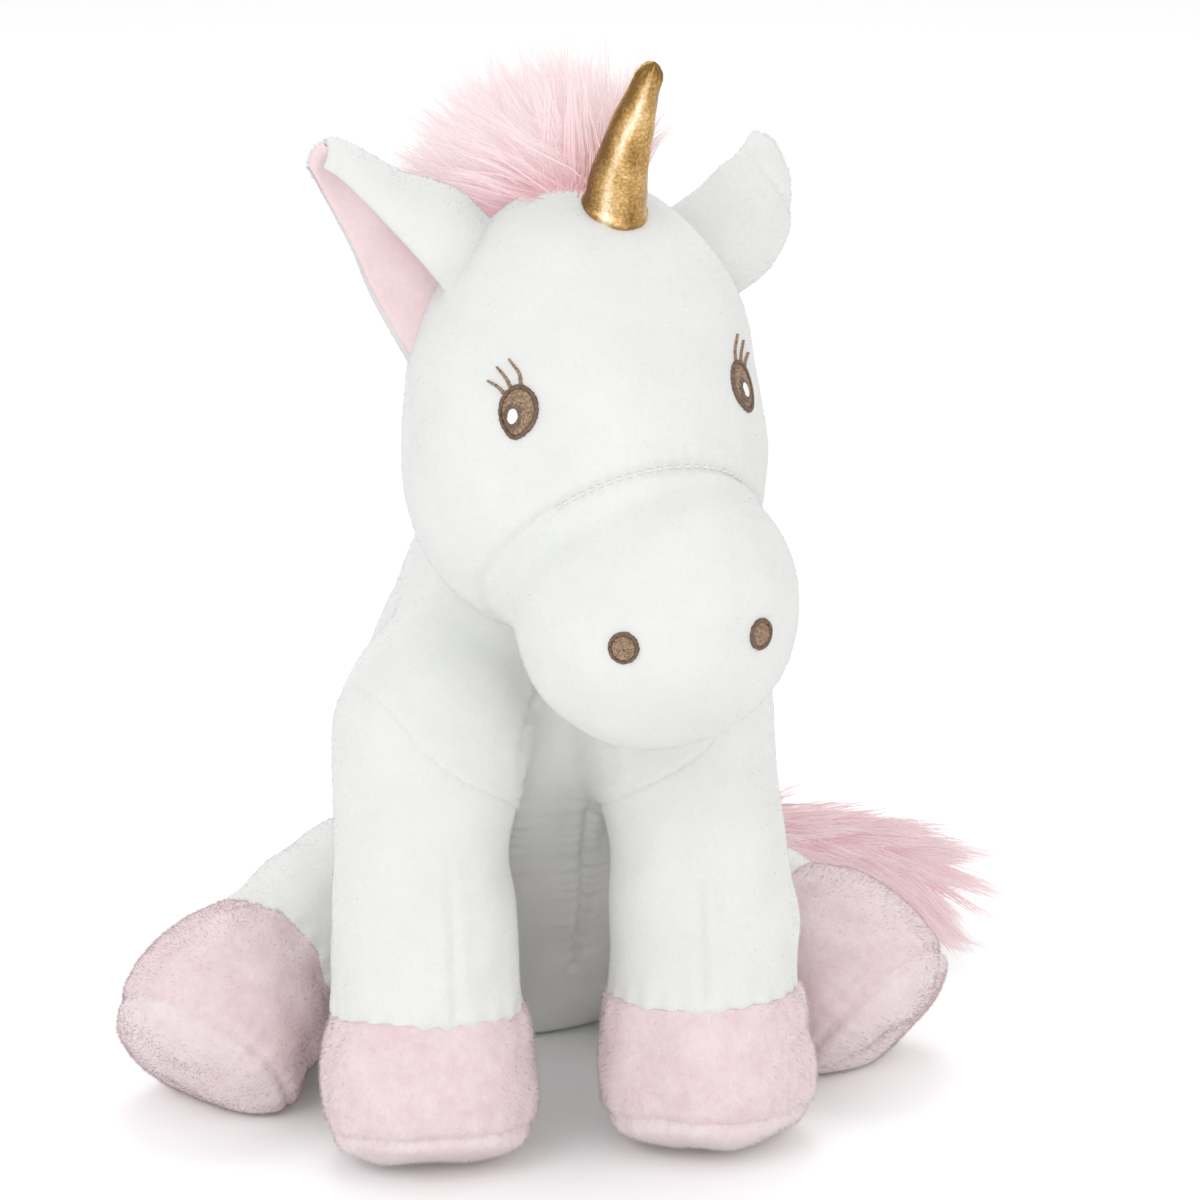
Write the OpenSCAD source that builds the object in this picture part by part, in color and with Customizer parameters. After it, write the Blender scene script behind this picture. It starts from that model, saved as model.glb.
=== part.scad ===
// Plush unicorn, sitting, with its head turned a little to its left.
// The unicorn faces -Y, its left side is +X and +Z is up. The origin is the
// middle of the flat seat, on the surface that the unicorn sits on.

/* [Torso] */
// Height of the neck joint above the seat
neck_height = 168; // [145:1:200]
// Width of the torso across the hips
torso_width = 112; // [96:1:134]
// Depth of the torso from belly to back
torso_depth = 96; // [84:1:114]
// How far the neck joint stands in front of the middle of the seat
torso_lean = 80; // [66:1:90]
// Thickness of the plush fabric and its pile
cover_t = 2; // [1.5:0.1:2.6]
// Width of the belly panel at its lower end
belly_panel_width = 34; // [26:1:40]
// Height of the belly panel's point on the chest
belly_panel_height = 118; // [100:1:126]
// Diameter of the pellet bag in the seat
pellet_bag_diameter = 44; // [36:1:50]
// Diameter of the ball of stuffing in the neck
neck_diameter = 66; // [56:1:68]

/* [Head] */
// Width of the head across the cheeks
head_width = 102; // [90:1:112]
// Height of the skull part of the head
skull_height = 104; // [92:1:112]
// Depth of the skull part of the head
skull_depth = 88; // [80:1:98]
// Width of the muzzle
muzzle_width = 82; // [70:1:94]
// Reach of the muzzle in front of the neck joint
muzzle_reach = 96; // [88:1:106]
// How far the head is turned to the unicorn's left, in degrees
head_turn_rest = 16.5; // [0:0.5:25]
// How far the nose is tipped down, in degrees
head_nod_rest = 6; // [0:0.5:10]

/* [Face] */
// Distance between the middles of the eyes
eye_spacing = 65; // [56:1:72]
// Height of an eye
eye_height = 17; // [13:0.5:20]
// Width of an eye
eye_width = 13; // [10:0.5:15]
// Diameter of the white highlight in an eye
highlight_diameter = 4; // [3:0.1:5]
// Distance between the middles of the nostrils
nostril_spacing = 40; // [32:1:48]
// Diameter of a nostril
nostril_diameter = 9; // [7:0.5:12]
// Thickness of the embroidery above the cover
thread_t = 0.6; // [0.4:0.1:1]

/* [Horn] */
// Length of the horn
horn_length = 52; // [42:1:62]
// Diameter of the horn at its base
horn_base_diameter = 17; // [13:0.5:21]
// Diameter of the horn near its gathered tip
horn_tip_diameter = 6; // [4:0.5:8]
// Lean of the horn towards the face, in degrees
horn_lean = 19; // [10:1:26]

/* [Ears] */
// Length of an ear
ear_length = 52; // [42:1:60]
// Width of an ear across its opening
ear_width = 34; // [28:1:38]
// How far an ear's opening is turned outwards, in degrees
ear_turn = 50; // [40:1:60]
// Thickness of each of the ear's two fabric layers
ear_layer_t = 1.4; // [1:0.1:2]

/* [Mane] */
// Length of the hair in the mane
mane_hair = 34; // [28:1:40]
// Width of the tuft of mane
mane_width = 54; // [44:1:60]

/* [Front legs] */
// Distance between the middles of the front legs
front_spacing = 76; // [70:1:84]
// Diameter of a front leg
front_leg_diameter = 51; // [44:1:54]
// Diameter of a front hoof
front_hoof_diameter = 57; // [50:1:60]
// Length from the shoulder joint to the sole
front_leg_length = 108; // [96:1:118]
// Lean of the front legs, hooves forward, in degrees
front_lean = 10; // [6:0.5:13]

/* [Hind legs] */
// Distance between the hip joints
hip_spacing = 84; // [78:1:94]
// Diameter of the thigh at the hip joint
thigh_diameter = 61; // [54:1:64]
// Diameter of a hind leg above the hoof
hind_leg_diameter = 51; // [44:1:54]
// Diameter of a hind hoof
hind_hoof_diameter = 55; // [48:1:58]
// Length from the hip joint to the sole
hind_leg_length = 88; // [78:1:98]
// How far the hind legs point outwards, in degrees
hind_splay = 45; // [38:1:52]
// Downward slope of the hind legs, in degrees
hind_drop = 8; // [6:0.5:10]

/* [Hooves] */
// Height of the hoof fabric above the sole seam
hoof_height = 31; // [24:1:36]
// Height of the rounded sole below its seam
sole_height = 9; // [7:0.5:11]

/* [Tail] */
// Length of the tail from its root to the ends of its hair
tail_length = 158; // [120:1:180]
// Thickness of the plume of tail hair
tail_diameter = 42; // [34:1:46]

/* [Hidden] */

WHITE = "whitesmoke";
PINK = "pink";
DEEP_PINK = "lightpink";
GOLD = "goldenrod";
BROWN = "sienna";
FIBRE = "ivory";

RIGHT = -1;
LEFT = 1;
gap = 0.6;          // clearance between pieces that move past each other
fit = 0.05;         // hairline between layers that lie on each other
big = 400;          // larger than the unicorn
soft_fn = 28;       // facets around a soft, meshed shape
round_fn = 48;      // segments around a turned shape

// Travel of each joint, in degrees from the resting pose
nod_range = [-12, 2];
turn_range = [-34, 2];
ear_range = [-20, 20];
front_range = [-30, 6];
hind_range = [-30, 0];
tail_range = [-6, 60];

neck_joint = [0, -torso_lean, neck_height];
shoulder_y = -102;
hip_y = -21;
press = 0.8;        // how far the soles are pressed flat on the ground

// ---------------------------------------------------------------- helpers

// Meshes everything inside as one soft shape
module soft() {
    resize([0, 0, 0]) children();
}

// An ellipsoid with its radii grown by g
module egg(centre, radii, g = 0) {
    translate(centre)
        scale([radii[0] + g, radii[1] + g, radii[2] + g])
            sphere(r = 1, $fn = soft_fn);
}

// Smooth value between four neighbouring table values
function smooth(a, b, c, d, t) =
    b + 0.5 * t * (c - a + t * (2 * a - 5 * b + 4 * c - d + t * (3 * (b - c) + d - a)));

// Row of a table at a fractional place, with smooth blending between rows
function row_at(table, u) =
    let (last = len(table) - 1, i = min(floor(u), last - 1), t = u - i)
    [for (k = [0:len(table[0]) - 1])
        smooth(table[max(i - 1, 0)][k], table[i][k], table[i + 1][k], table[min(i + 2, last)][k], t)];

// Closes a stack of rings, each a list of points, into one solid
module skin(rings) {
    n = len(rings[0]);
    m = len(rings);
    points = [for (r = rings) each r];
    sides = [for (j = [0:m - 2], i = [0:n - 1])
        let (a = j * n + i, b = j * n + (i + 1) % n)
        each [[a, b, b + n], [a, b + n, a + n]]];
    bottom = [for (i = [1:n - 2]) [0, i + 1, i]];
    top = [for (i = [1:n - 2]) [(m - 1) * n, (m - 1) * n + i, (m - 1) * n + i + 1]];
    polyhedron(points = points, faces = [for (f = concat(sides, bottom, top)) [f[0], f[2], f[1]]]);
}

// Keeps what stands above the floor
module above_floor() {
    intersection() {
        children();
        translate([-big / 2, -big / 2, 0]) cube(big);
    }
}

// ---------------------------------------------------------------- torso

// Each row: height, centre (0 at the seat, 1 at the neck joint), width and depth,
// all as shares of the torso's own sizes
torso_rows = [
    [0.00, 0.04, 0.78, 0.70],
    [0.03, 0.05, 0.90, 0.86],
    [0.12, 0.08, 0.98, 0.96],
    [0.28, 0.18, 1.00, 1.00],
    [0.44, 0.35, 0.96, 0.98],
    [0.60, 0.54, 0.91, 0.93],
    [0.74, 0.73, 0.82, 0.82],
    [0.87, 0.90, 0.68, 0.68]
];
torso_steps = 14;

function torso_row(u) = row_at(torso_rows, u * (len(torso_rows) - 1));
function torso_ring(u, inset) =
    let (r = torso_row(u),
         lift = u == 0 ? inset : u == 1 ? -inset : 0,
         a = r[2] * torso_width / 2 - inset,
         b = r[3] * torso_depth / 2 - inset)
    [for (i = [0:soft_fn - 1])
        let (w = 360 * i / soft_fn)
        [a * cos(w), b * sin(w) - r[1] * torso_lean, r[0] * neck_height + lift]];

module torso_form(inset = 0) {
    skin([for (k = [0:torso_steps]) torso_ring(k / torso_steps, inset)]);
}

// Room that the neck, the head and the legs need as they move
collar_drop = 31;   // how far below the neck joint the front of the collar lies
collar_slope = 16;  // degrees that the collar rises towards the back
module torso_hollows(g) {
    translate(neck_joint) sphere(d = neck_diameter + 2 * g, $fn = soft_fn);
    translate(neck_joint + [0, -25, -collar_drop - g]) rotate([collar_slope, 0, 0])
        translate([-big / 2, -big / 2, 0]) cube(big);
    for (side = [RIGHT, LEFT]) {
        front_leg_frame(side) sphere(r = front_profile()[0] + g, $fn = soft_fn);
        hind_leg_frame(side) sphere(r = hind_profile()[0] + g, $fn = soft_fn);
        hull() for (a = [0, front_range[1]])
            front_leg_frame(side, a) leg_room(front_profile(), g);
        hull() for (a = hind_range)
            hind_leg_frame(side, a) leg_room(hind_profile(), g);
    }
}

module torso_solid(inset) {
    soft() difference() {
        torso_form(inset);
        torso_hollows(gap + inset);
    }
}

// The pointed strip of the torso's front that the belly panel covers
module belly_zone(grow = 0) {
    half = belly_panel_width / 2 + grow;
    translate([0, -belly_back, 0]) rotate([90, 0, 0]) linear_extrude(big)
        polygon([[-half, seat_t - grow], [half, seat_t - grow], [half, 40], [0, belly_panel_height + grow], [-half, 40]]);
}
seat_t = cover_t;
belly_back = 45;    // where the belly panel ends, in front of the middle of the seat

module torso_shell() {
    difference() {
        torso_solid(0);
        torso_solid(cover_t);
        seat_block(seat_t, fit);
    }
}

module torso_cover() {
    color(WHITE) soft() difference() {
        torso_shell();
        belly_zone();
    }
}

module belly_panel() {
    color(WHITE) soft() intersection() {
        torso_shell();
        belly_zone(-fit);
    }
}

// The flat oval base that the unicorn sits on
module seat_block(t, g = 0) {
    r = torso_rows[0];
    points = [for (i = [0:round_fn - 1])
        let (w = 360 * i / round_fn)
        [(r[2] * torso_width / 2 - 6 + g) * cos(w), (r[3] * torso_depth / 2 - 4 + g) * sin(w) - r[1] * torso_lean]];
    translate([0, 0, -g]) linear_extrude(t + 2 * g) polygon(points);
}

module seat_panel() {
    color(WHITE) seat_block(seat_t);
}

module torso_stuffing() {
    color(FIBRE) soft() difference() {
        torso_solid(cover_t + fit);
        seat_block(seat_t, 2 * fit);
        pellet_bag_form(fit);
        translate([0, pellet_bag_y, 0])
            cylinder(d = pellet_bag_diameter - pellet_bag_height, h = seat_t + pellet_bag_height / 2, $fn = round_fn);
    }
}

pellet_bag_height = 20;
pellet_bag_y = 10;
module pellet_bag_form(g = 0) {
    translate([0, pellet_bag_y, seat_t + 1 + pellet_bag_height / 2])
        rotate_extrude($fn = round_fn)
            intersection() {
                translate([0, -big]) square([big, 2 * big]);
                hull() for (side = [-1, 1])
                    translate([side * (pellet_bag_diameter - pellet_bag_height) / 2, 0])
                        circle(d = pellet_bag_height + 2 * g, $fn = 24);
            }
}

module pellet_bag() {
    color("tan") pellet_bag_form();
}

stitch_d = 1;
stitch_length = 5;
module closing_stitch() {
    color(WHITE) for (u = [0.18:0.035:0.5]) {
        r = torso_row(u);
        translate([0, r[3] * torso_depth / 2 - r[1] * torso_lean + stitch_d / 2 + 0.1, r[0] * neck_height])
            rotate([0, 90, 0]) cylinder(d = stitch_d, h = stitch_length, center = true, $fn = 16);
    }
}

// ---------------------------------------------------------------- neck

module neck_cover() {
    color(WHITE) translate(neck_joint) difference() {
        sphere(d = neck_diameter, $fn = round_fn);
        sphere(d = neck_diameter - 2 * cover_t, $fn = round_fn);
    }
}

module neck_stuffing() {
    color(FIBRE) translate(neck_joint) sphere(d = neck_diameter - 2 * cover_t - 2 * fit, $fn = round_fn);
}

// ---------------------------------------------------------------- head

// Puts what is drawn around the neck joint, facing -Y, into the head's place
module head_pose(nod = 0, turn = 0) {
    translate(neck_joint)
        rotate([nod, 0, 0])
            rotate([0, 0, turn])
                rotate([0, 0, head_turn_rest])
                    rotate([head_nod_rest, 0, 0])
                        children();
}

skull_centre = [0, -16, 42];
cheek_centre = [0, -27, 19];
bridge_centre = [0, -36, 22];
muzzle_centre = [0, 36 - muzzle_reach, -6];
skull_radii = [head_width / 2 - 2, skull_depth / 2, skull_height / 2];
cheek_radii = [head_width / 2, 34, 43];
bridge_radii = [muzzle_width / 2 - 1, 34, 38];
muzzle_radii = [muzzle_width / 2, 36, 36];

module head_form(g = 0) {
    hull() {
        egg(skull_centre, skull_radii, g);
        egg(cheek_centre, cheek_radii, g);
    }
    hull() {
        egg(bridge_centre, bridge_radii, g);
        egg(muzzle_centre, muzzle_radii, g);
    }
}

// The head with the hollow that turns on the neck
module head_solid(g = 0) {
    difference() {
        head_form(g);
        sphere(d = neck_diameter + 2 * gap - 2 * g, $fn = soft_fn);
    }
}

// Everything in front of the seam that joins the muzzle to the face
muzzle_seam_tilt = -54.6;
muzzle_seam_at = [0, -69.5, 37.6];
module muzzle_zone(g = 0) {
    translate(muzzle_seam_at) rotate([muzzle_seam_tilt, 0, 0])
        translate([-big / 2, -big / 2, -big + g]) cube(big);
}

module head_shell() {
    difference() {
        head_solid();
        head_solid(-cover_t);
    }
}

module head_cover() {
    color(WHITE) head_pose() soft() difference() {
        head_shell();
        muzzle_zone();
    }
}

module muzzle_cover() {
    color(WHITE) head_pose() soft() intersection() {
        head_shell();
        muzzle_zone(-fit);
    }
}

module head_stuffing() {
    color(FIBRE) head_pose() soft() head_solid(-cover_t - fit);
}

// ---------------------------------------------------------------- face

// Embroidery: what a straight punch cuts out of a thin skin on the head
module embroidered(inner = 0, outer = thread_t) {
    soft() intersection() {
        difference() {
            head_form(outer);
            head_form(inner + fit);
        }
        children();
    }
}

eye_z = 48;
eye_turn = 30;      // degrees from straight ahead to the way an eye looks
nostril_z = -3;
nostril_turn = 12;

module face_punch(side, spacing, z, turn, size) {
    translate([side * spacing / 2, -40, z]) rotate([0, 0, side * turn]) rotate([90, 0, 0])
        linear_extrude(80) scale([size[0] / 2, size[1] / 2]) circle(r = 1, $fn = 24);
}

module eye(side) {
    color(BROWN) head_pose() soft() difference() {
        embroidered() face_punch(side, eye_spacing, eye_z, eye_turn, [eye_width, eye_height]);
        face_punch(side, eye_spacing - side, eye_z - 2, eye_turn, [highlight_diameter + 0.2, highlight_diameter + 1.2]);
    }
}
module highlight(side) {
    color("white") head_pose() embroidered()
        face_punch(side, eye_spacing - side, eye_z - 2, eye_turn, [highlight_diameter, highlight_diameter + 1]);
}
module lashes(side) {
    color(BROWN) head_pose() embroidered()
        for (k = [0:2])
            translate([side * (eye_spacing / 2), -40, eye_z]) rotate([0, 0, side * eye_turn]) rotate([90, 0, 0])
                rotate([0, 0, -side * (4 + 22 * k)])
                    translate([-0.6, eye_height / 2 + 0.8 - 0.6 * k, 0]) cube([1.2, 5.5, 80]);
}
module nostril(side) {
    color(BROWN) head_pose() embroidered()
        face_punch(side, nostril_spacing, nostril_z, nostril_turn, [nostril_diameter, nostril_diameter]);
}

// ---------------------------------------------------------------- horn

horn_at = [0, -29, 84];
module horn_frame() {
    head_pose() translate(horn_at) rotate([horn_lean, 0, 0]) children();
}
module horn_turned(inset = 0) {
    r0 = horn_base_diameter / 2 - inset;
    r1 = horn_tip_diameter / 2 - inset;
    tip = horn_length - horn_tip_diameter / 2;
    rotate_extrude($fn = soft_fn)
        polygon(concat([[0, -8], [r0, -8]], [for (a = [8:16:92]) [r1 * cos(min(a, 90)), tip + r1 * sin(min(a, 90))]]));
}
lame_t = 0.8;       // thickness of the gold fabric
module horn_cover() {
    color(GOLD) soft() difference() {
        horn_frame() horn_turned();
        horn_frame() horn_turned(lame_t);
        head_pose() head_form(fit);
    }
}
module horn_stuffing() {
    color(FIBRE) soft() difference() {
        horn_frame() horn_turned(lame_t + fit);
        head_pose() head_form(fit);
    }
}

// ---------------------------------------------------------------- mane

mane_centre = [0, 10, 66];
mane_strip = [10, 44];
module mane_backing() {
    color(PINK) head_pose() soft() intersection() {
        difference() {
            head_form(1.2);
            head_form(fit);
        }
        translate([-mane_strip[0] / 2, mane_centre[1] - mane_strip[1] / 2, mane_centre[2]])
            cube([mane_strip[0], mane_strip[1], 80]);
    }
}
module mane_pile() {
    color(DEEP_PINK) soft() difference() {
        head_pose() egg([mane_centre[0], mane_centre[1] + 4, 96], [mane_width / 2, 34, mane_hair]);
        head_pose() head_form(1.2 + fit);
        horn_frame() horn_turned(-1.5);
    }
}

// ---------------------------------------------------------------- ears

ear_root = [36, -6, 71];
ear_out = 50;       // degrees that an ear leans out from upright

// An ear's own frame: +Z runs from the root to the tip, and it bends about X
module ear_frame(side) {
    translate([side * ear_root[0], ear_root[1], ear_root[2]])
        rotate([0, side * ear_out, 0])
            children();
}
// The head as an ear meets it when the ear is bent by an angle
module head_seen_from_ear(side, bend, g) {
    rotate([-bend, 0, 0])
        rotate([0, -side * ear_out, 0])
            translate([-side * ear_root[0], -ear_root[1], -ear_root[2]])
                egg(skull_centre, skull_radii, g);
}

// Half width of the ear at a share u of its length
function ear_half(u) = ear_width / 2 * (0.86 + 0.5 * u - 0.9 * u * u - 0.38 * pow(u, 6));
ear_steps = 12;
ear_arc = 74;       // half angle of the curl at the root
module ear_layer(depth, t) {
    skin([for (k = [0:ear_steps])
        let (u = k / ear_steps, half = max(ear_half(u), 1.6),
             arc = ear_arc * (1 - 0.45 * u), r = half / sin(arc), back = r * cos(arc))
        concat(
            [for (i = [0:10])
                let (w = -arc + 2 * arc * i / 10)
                [(r - depth) * sin(w), (r - depth) * cos(w) - back, u * ear_length + 1]],
            [for (i = [10:-1:0])
                let (w = -arc + 2 * arc * i / 10)
                [(r - depth - t) * sin(w), (r - depth - t) * cos(w) - back, u * ear_length + 1]])]);
}
// One layer of an ear, cut at its root so that it clears the head at every bend
module ear_piece(side, depth) {
    head_pose() ear_frame(side) soft() difference() {
        rotate([0, 0, side * ear_turn]) ear_layer(depth, ear_layer_t);
        for (bend = [ear_range[0]:10:ear_range[1]])
            head_seen_from_ear(side, bend, gap);
    }
}
module ear_outer(side) {
    color(WHITE) ear_piece(side, 0);
}
module ear_inner(side) {
    color(PINK) ear_piece(side, ear_layer_t + fit);
}

// ---------------------------------------------------------------- legs

// A leg's profile runs down from its joint: [ball radius, ankle radius, hoof radius, length]
function front_profile() =
    [front_leg_diameter / 2 - 3.5, front_leg_diameter / 2, front_hoof_diameter / 2, front_leg_length];
function hind_profile() =
    [thigh_diameter / 2, hind_leg_diameter / 2, hind_hoof_diameter / 2, hind_leg_length];

// Radius of a leg at a distance t below its joint
function sole_seam(p) = p[3] - sole_height;
function hoof_seam(p) = p[3] - sole_height - hoof_height;
function leg_radius(p, t) =
    t < 0 ? sqrt(max(p[0] * p[0] - t * t, 0)) :
    t < hoof_seam(p) ? p[0] + (p[1] - p[0]) * t / hoof_seam(p) :
    t < sole_seam(p) ?
        let (u = (t - hoof_seam(p)) / hoof_height)
        p[1] + (p[2] - p[1]) * sin(180 * pow(u, 0.8)) :
    let (u = (t - sole_seam(p)) / sole_height)
    (p[1] - 0.6) * sqrt(max(1 - 0.62 * u * u, 0));

// Half outline of a leg from t0 to t1, inset by d
function outline(p, t0, t1, d, n) =
    [for (i = [0:n]) let (t = t0 + (t1 - t0) * i / n) [max(leg_radius(p, t) - d, 0), -t]];
function ball_outline(p, d) =
    [for (i = [0:8]) let (w = 90 - 90 * i / 8) [(p[0] - d) * cos(w), (p[0] - d) * sin(w)]];

// Straight room for the upper part of a leg
module leg_room(p, g) {
    translate([0, 0, -hoof_seam(p)])
        cylinder(r1 = p[1] + g, r2 = p[0] + g, h = hoof_seam(p), $fn = soft_fn);
}

module leg_cover_local(p) {
    rotate_extrude($fn = round_fn)
        polygon(concat(
            ball_outline(p, 0),
            outline(p, 3, hoof_seam(p), 0, 4),
            [for (q = outline(p, hoof_seam(p), 3, cover_t, 4)) q],
            [for (i = [8:-1:0]) ball_outline(p, cover_t)[i]]));
}
module hoof_cover_local(p) {
    rotate_extrude($fn = round_fn)
        polygon(concat(
            outline(p, hoof_seam(p) + fit, sole_seam(p), 0, 8),
            outline(p, sole_seam(p), hoof_seam(p) + fit, cover_t, 8)));
}
module sole_local(p) {
    rotate_extrude($fn = round_fn)
        polygon(concat(
            [[0, -sole_seam(p) - sole_height + cover_t]],
            outline(p, p[3] - cover_t, sole_seam(p) + fit, cover_t, 4),
            outline(p, sole_seam(p) + fit, p[3], 0, 5),
            [[0, -p[3]]]));
}
module leg_stuffing_local(p) {
    d = cover_t + fit;
    rotate_extrude($fn = round_fn)
        polygon(concat(
            ball_outline(p, d),
            outline(p, 3, hoof_seam(p), d, 4),
            outline(p, hoof_seam(p) + fit, sole_seam(p), d, 8),
            outline(p, sole_seam(p) + fit, p[3] - d, d, 4),
            [[0, -p[3] + d]]));
}

// A front leg's own frame: the joint at the origin, the leg down -Z
shoulder_height = front_leg_length * cos(front_lean)
    + leg_radius(front_profile(), front_leg_length) * sin(front_lean) - press;
module front_leg_frame(side, swing = 0) {
    translate([side * front_spacing / 2, shoulder_y, shoulder_height])
        rotate([swing - front_lean, 0, 0]) children();
}
hoof_middle = hind_leg_length - sole_height - 0.55 * hoof_height;
hip_height = hind_hoof_diameter / 2 * cos(hind_drop) + hoof_middle * sin(hind_drop) - press;
module hind_leg_frame(side, lift = 0) {
    translate([side * hip_spacing / 2, hip_y, hip_height])
        rotate([0, 0, side * hind_splay])
            rotate([lift + hind_drop - 90, 0, 0]) children();
}

module front_leg_cover(side) {
    color(WHITE) front_leg_frame(side) leg_cover_local(front_profile());
}
module front_leg_stuffing(side) {
    color(FIBRE) above_floor() front_leg_frame(side) leg_stuffing_local(front_profile());
}
module front_hoof_cover(side) {
    color(PINK) above_floor() front_leg_frame(side) hoof_cover_local(front_profile());
}
module front_sole(side) {
    color(DEEP_PINK) above_floor() front_leg_frame(side) sole_local(front_profile());
}
module hind_leg_cover(side) {
    color(WHITE) above_floor() hind_leg_frame(side) leg_cover_local(hind_profile());
}
module hind_leg_stuffing(side) {
    color(FIBRE) above_floor() hind_leg_frame(side) leg_stuffing_local(hind_profile());
}
module hind_hoof_cover(side) {
    color(PINK) above_floor() hind_leg_frame(side) hoof_cover_local(hind_profile());
}
module hind_sole(side) {
    color(DEEP_PINK) above_floor() hind_leg_frame(side) sole_local(hind_profile());
}

// ---------------------------------------------------------------- tail

tail_joint = [0, torso_depth / 2 - 4, 18];
// The tail sweeps round the unicorn's left hip: share of the length, sideways and
// backwards, height and share of the thickness
tail_rows = [
    [0.05, 0.02, 18, 0.30],
    [0.22, 0.09, 20, 0.66],
    [0.45, 0.08, 22, 0.92],
    [0.68, -0.02, 23, 1.00],
    [0.88, -0.16, 22, 0.84],
    [0.98, -0.25, 20, 0.44]
];
tail_steps = 14;
function tail_row(u) = row_at(tail_rows, u * (len(tail_rows) - 1));
function tail_point(u) =
    let (r = tail_row(u))
    [r[0] * tail_length, tail_joint[1] + r[1] * tail_length, r[2]];
module tail_pile() {
    color(DEEP_PINK) above_floor() skin([for (k = [0:tail_steps])
        let (u = k / tail_steps,
             p = tail_point(u),
             d = tail_point(min(u + 0.02, 1)) - tail_point(max(u - 0.02, 0)),
             s = [-d[1], d[0]] / norm([d[0], d[1]]),
             r = tail_row(u)[3] * tail_diameter / 2)
        [for (i = [0:soft_fn / 2 - 1])
            let (w = 360 * i / (soft_fn / 2))
            [p[0] + s[0] * r * cos(w), p[1] + s[1] * r * cos(w), p[2] + r * sin(w)]]]);
}
module tail_root() {
    color(PINK) translate(tail_joint) rotate([0, 90, 0])
        cylinder(d = 7, h = 0.05 * tail_length - fit, $fn = 24);
}

// ---------------------------------------------------------------- drawing

torso_cover();
belly_panel();
seat_panel();
torso_stuffing();
pellet_bag();
closing_stitch();
neck_cover();
neck_stuffing();
head_cover();
muzzle_cover();
head_stuffing();
horn_cover();
horn_stuffing();
mane_backing();
mane_pile();
eye(RIGHT);  // eye_right
eye(LEFT);  // eye_left
highlight(RIGHT);  // highlight_right
highlight(LEFT);  // highlight_left
lashes(RIGHT);  // lashes_right
lashes(LEFT);  // lashes_left
nostril(RIGHT);  // nostril_right
nostril(LEFT);  // nostril_left
ear_outer(RIGHT);  // ear_right_outer
ear_inner(RIGHT);  // ear_right_inner
ear_outer(LEFT);  // ear_left_outer
ear_inner(LEFT);  // ear_left_inner
front_leg_cover(RIGHT);  // front_right_leg_cover
front_leg_stuffing(RIGHT);  // front_right_leg_stuffing
front_hoof_cover(RIGHT);  // front_right_hoof_cover
front_sole(RIGHT);  // front_right_sole
front_leg_cover(LEFT);  // front_left_leg_cover
front_leg_stuffing(LEFT);  // front_left_leg_stuffing
front_hoof_cover(LEFT);  // front_left_hoof_cover
front_sole(LEFT);  // front_left_sole
hind_leg_cover(RIGHT);  // hind_right_leg_cover
hind_leg_stuffing(RIGHT);  // hind_right_leg_stuffing
hind_hoof_cover(RIGHT);  // hind_right_hoof_cover
hind_sole(RIGHT);  // hind_right_sole
hind_leg_cover(LEFT);  // hind_left_leg_cover
hind_leg_stuffing(LEFT);  // hind_left_leg_stuffing
hind_hoof_cover(LEFT);  // hind_left_hoof_cover
hind_sole(LEFT);  // hind_left_sole
tail_root();
tail_pile();
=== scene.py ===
# Plush unicorn, sitting, in the row frame: metres, +Z up, the unicorn faces -Y, its left is +X.
# Shapes are written in millimetres and scaled to metres when their mesh is made.
import math
import bpy
import bmesh
import numpy as np
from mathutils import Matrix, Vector, noise


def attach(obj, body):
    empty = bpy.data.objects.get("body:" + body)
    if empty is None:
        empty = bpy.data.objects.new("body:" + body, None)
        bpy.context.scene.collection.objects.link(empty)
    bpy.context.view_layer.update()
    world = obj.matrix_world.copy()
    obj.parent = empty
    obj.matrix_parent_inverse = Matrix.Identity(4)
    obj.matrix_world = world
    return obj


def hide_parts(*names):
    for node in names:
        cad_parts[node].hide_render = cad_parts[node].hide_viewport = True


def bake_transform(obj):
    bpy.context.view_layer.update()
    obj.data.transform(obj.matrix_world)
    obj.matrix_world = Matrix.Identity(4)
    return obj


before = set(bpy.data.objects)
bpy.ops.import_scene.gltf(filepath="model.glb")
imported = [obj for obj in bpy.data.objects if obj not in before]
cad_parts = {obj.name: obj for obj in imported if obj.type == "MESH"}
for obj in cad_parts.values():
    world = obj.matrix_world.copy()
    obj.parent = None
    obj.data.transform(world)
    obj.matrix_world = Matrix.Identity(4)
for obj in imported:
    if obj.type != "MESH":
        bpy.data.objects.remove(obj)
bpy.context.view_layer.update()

MM = 0.001
RIGHT, LEFT = -1, 1
scene = bpy.context.scene
NAME = {RIGHT: "right", LEFT: "left"}


# ---- small helpers

def rot(axis, degrees):
    a = math.radians(degrees)
    c, s = math.cos(a), math.sin(a)
    return np.array({
        "x": [[1, 0, 0], [0, c, -s], [0, s, c]],
        "y": [[c, 0, s], [0, 1, 0], [-s, 0, c]],
        "z": [[c, -s, 0], [s, c, 0], [0, 0, 1]],
    }[axis], float)


def unit(v):
    return v / np.maximum(np.linalg.norm(v, axis=-1, keepdims=True), 1e-9)


def lerp(a, b, t):
    return a + (b - a) * t


def turns(n):
    return np.linspace(0, 2 * math.pi, n, endpoint=False)


def ease(a, b, t):
    t = np.clip((t - a) / (b - a), 0, 1)
    return t * t * (3 - 2 * t)


def ell(p, centre, radii, turn=None, back=None):
    """Signed distance, roughly, to an ellipsoid. back is its other radius behind its centre."""
    q = p - np.array(centre, float)
    if turn is not None:
        q = q @ turn
    r = np.tile(np.array(radii, float), (len(q), 1))
    if back is not None:
        r[:, 1] = np.where(q[:, 1] > 0, back, r[:, 1])
    k0 = np.linalg.norm(q / r, axis=1)
    k1 = np.maximum(np.linalg.norm(q / r ** 2, axis=1), 1e-9)
    return k0 * (k0 - 1) / k1


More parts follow.
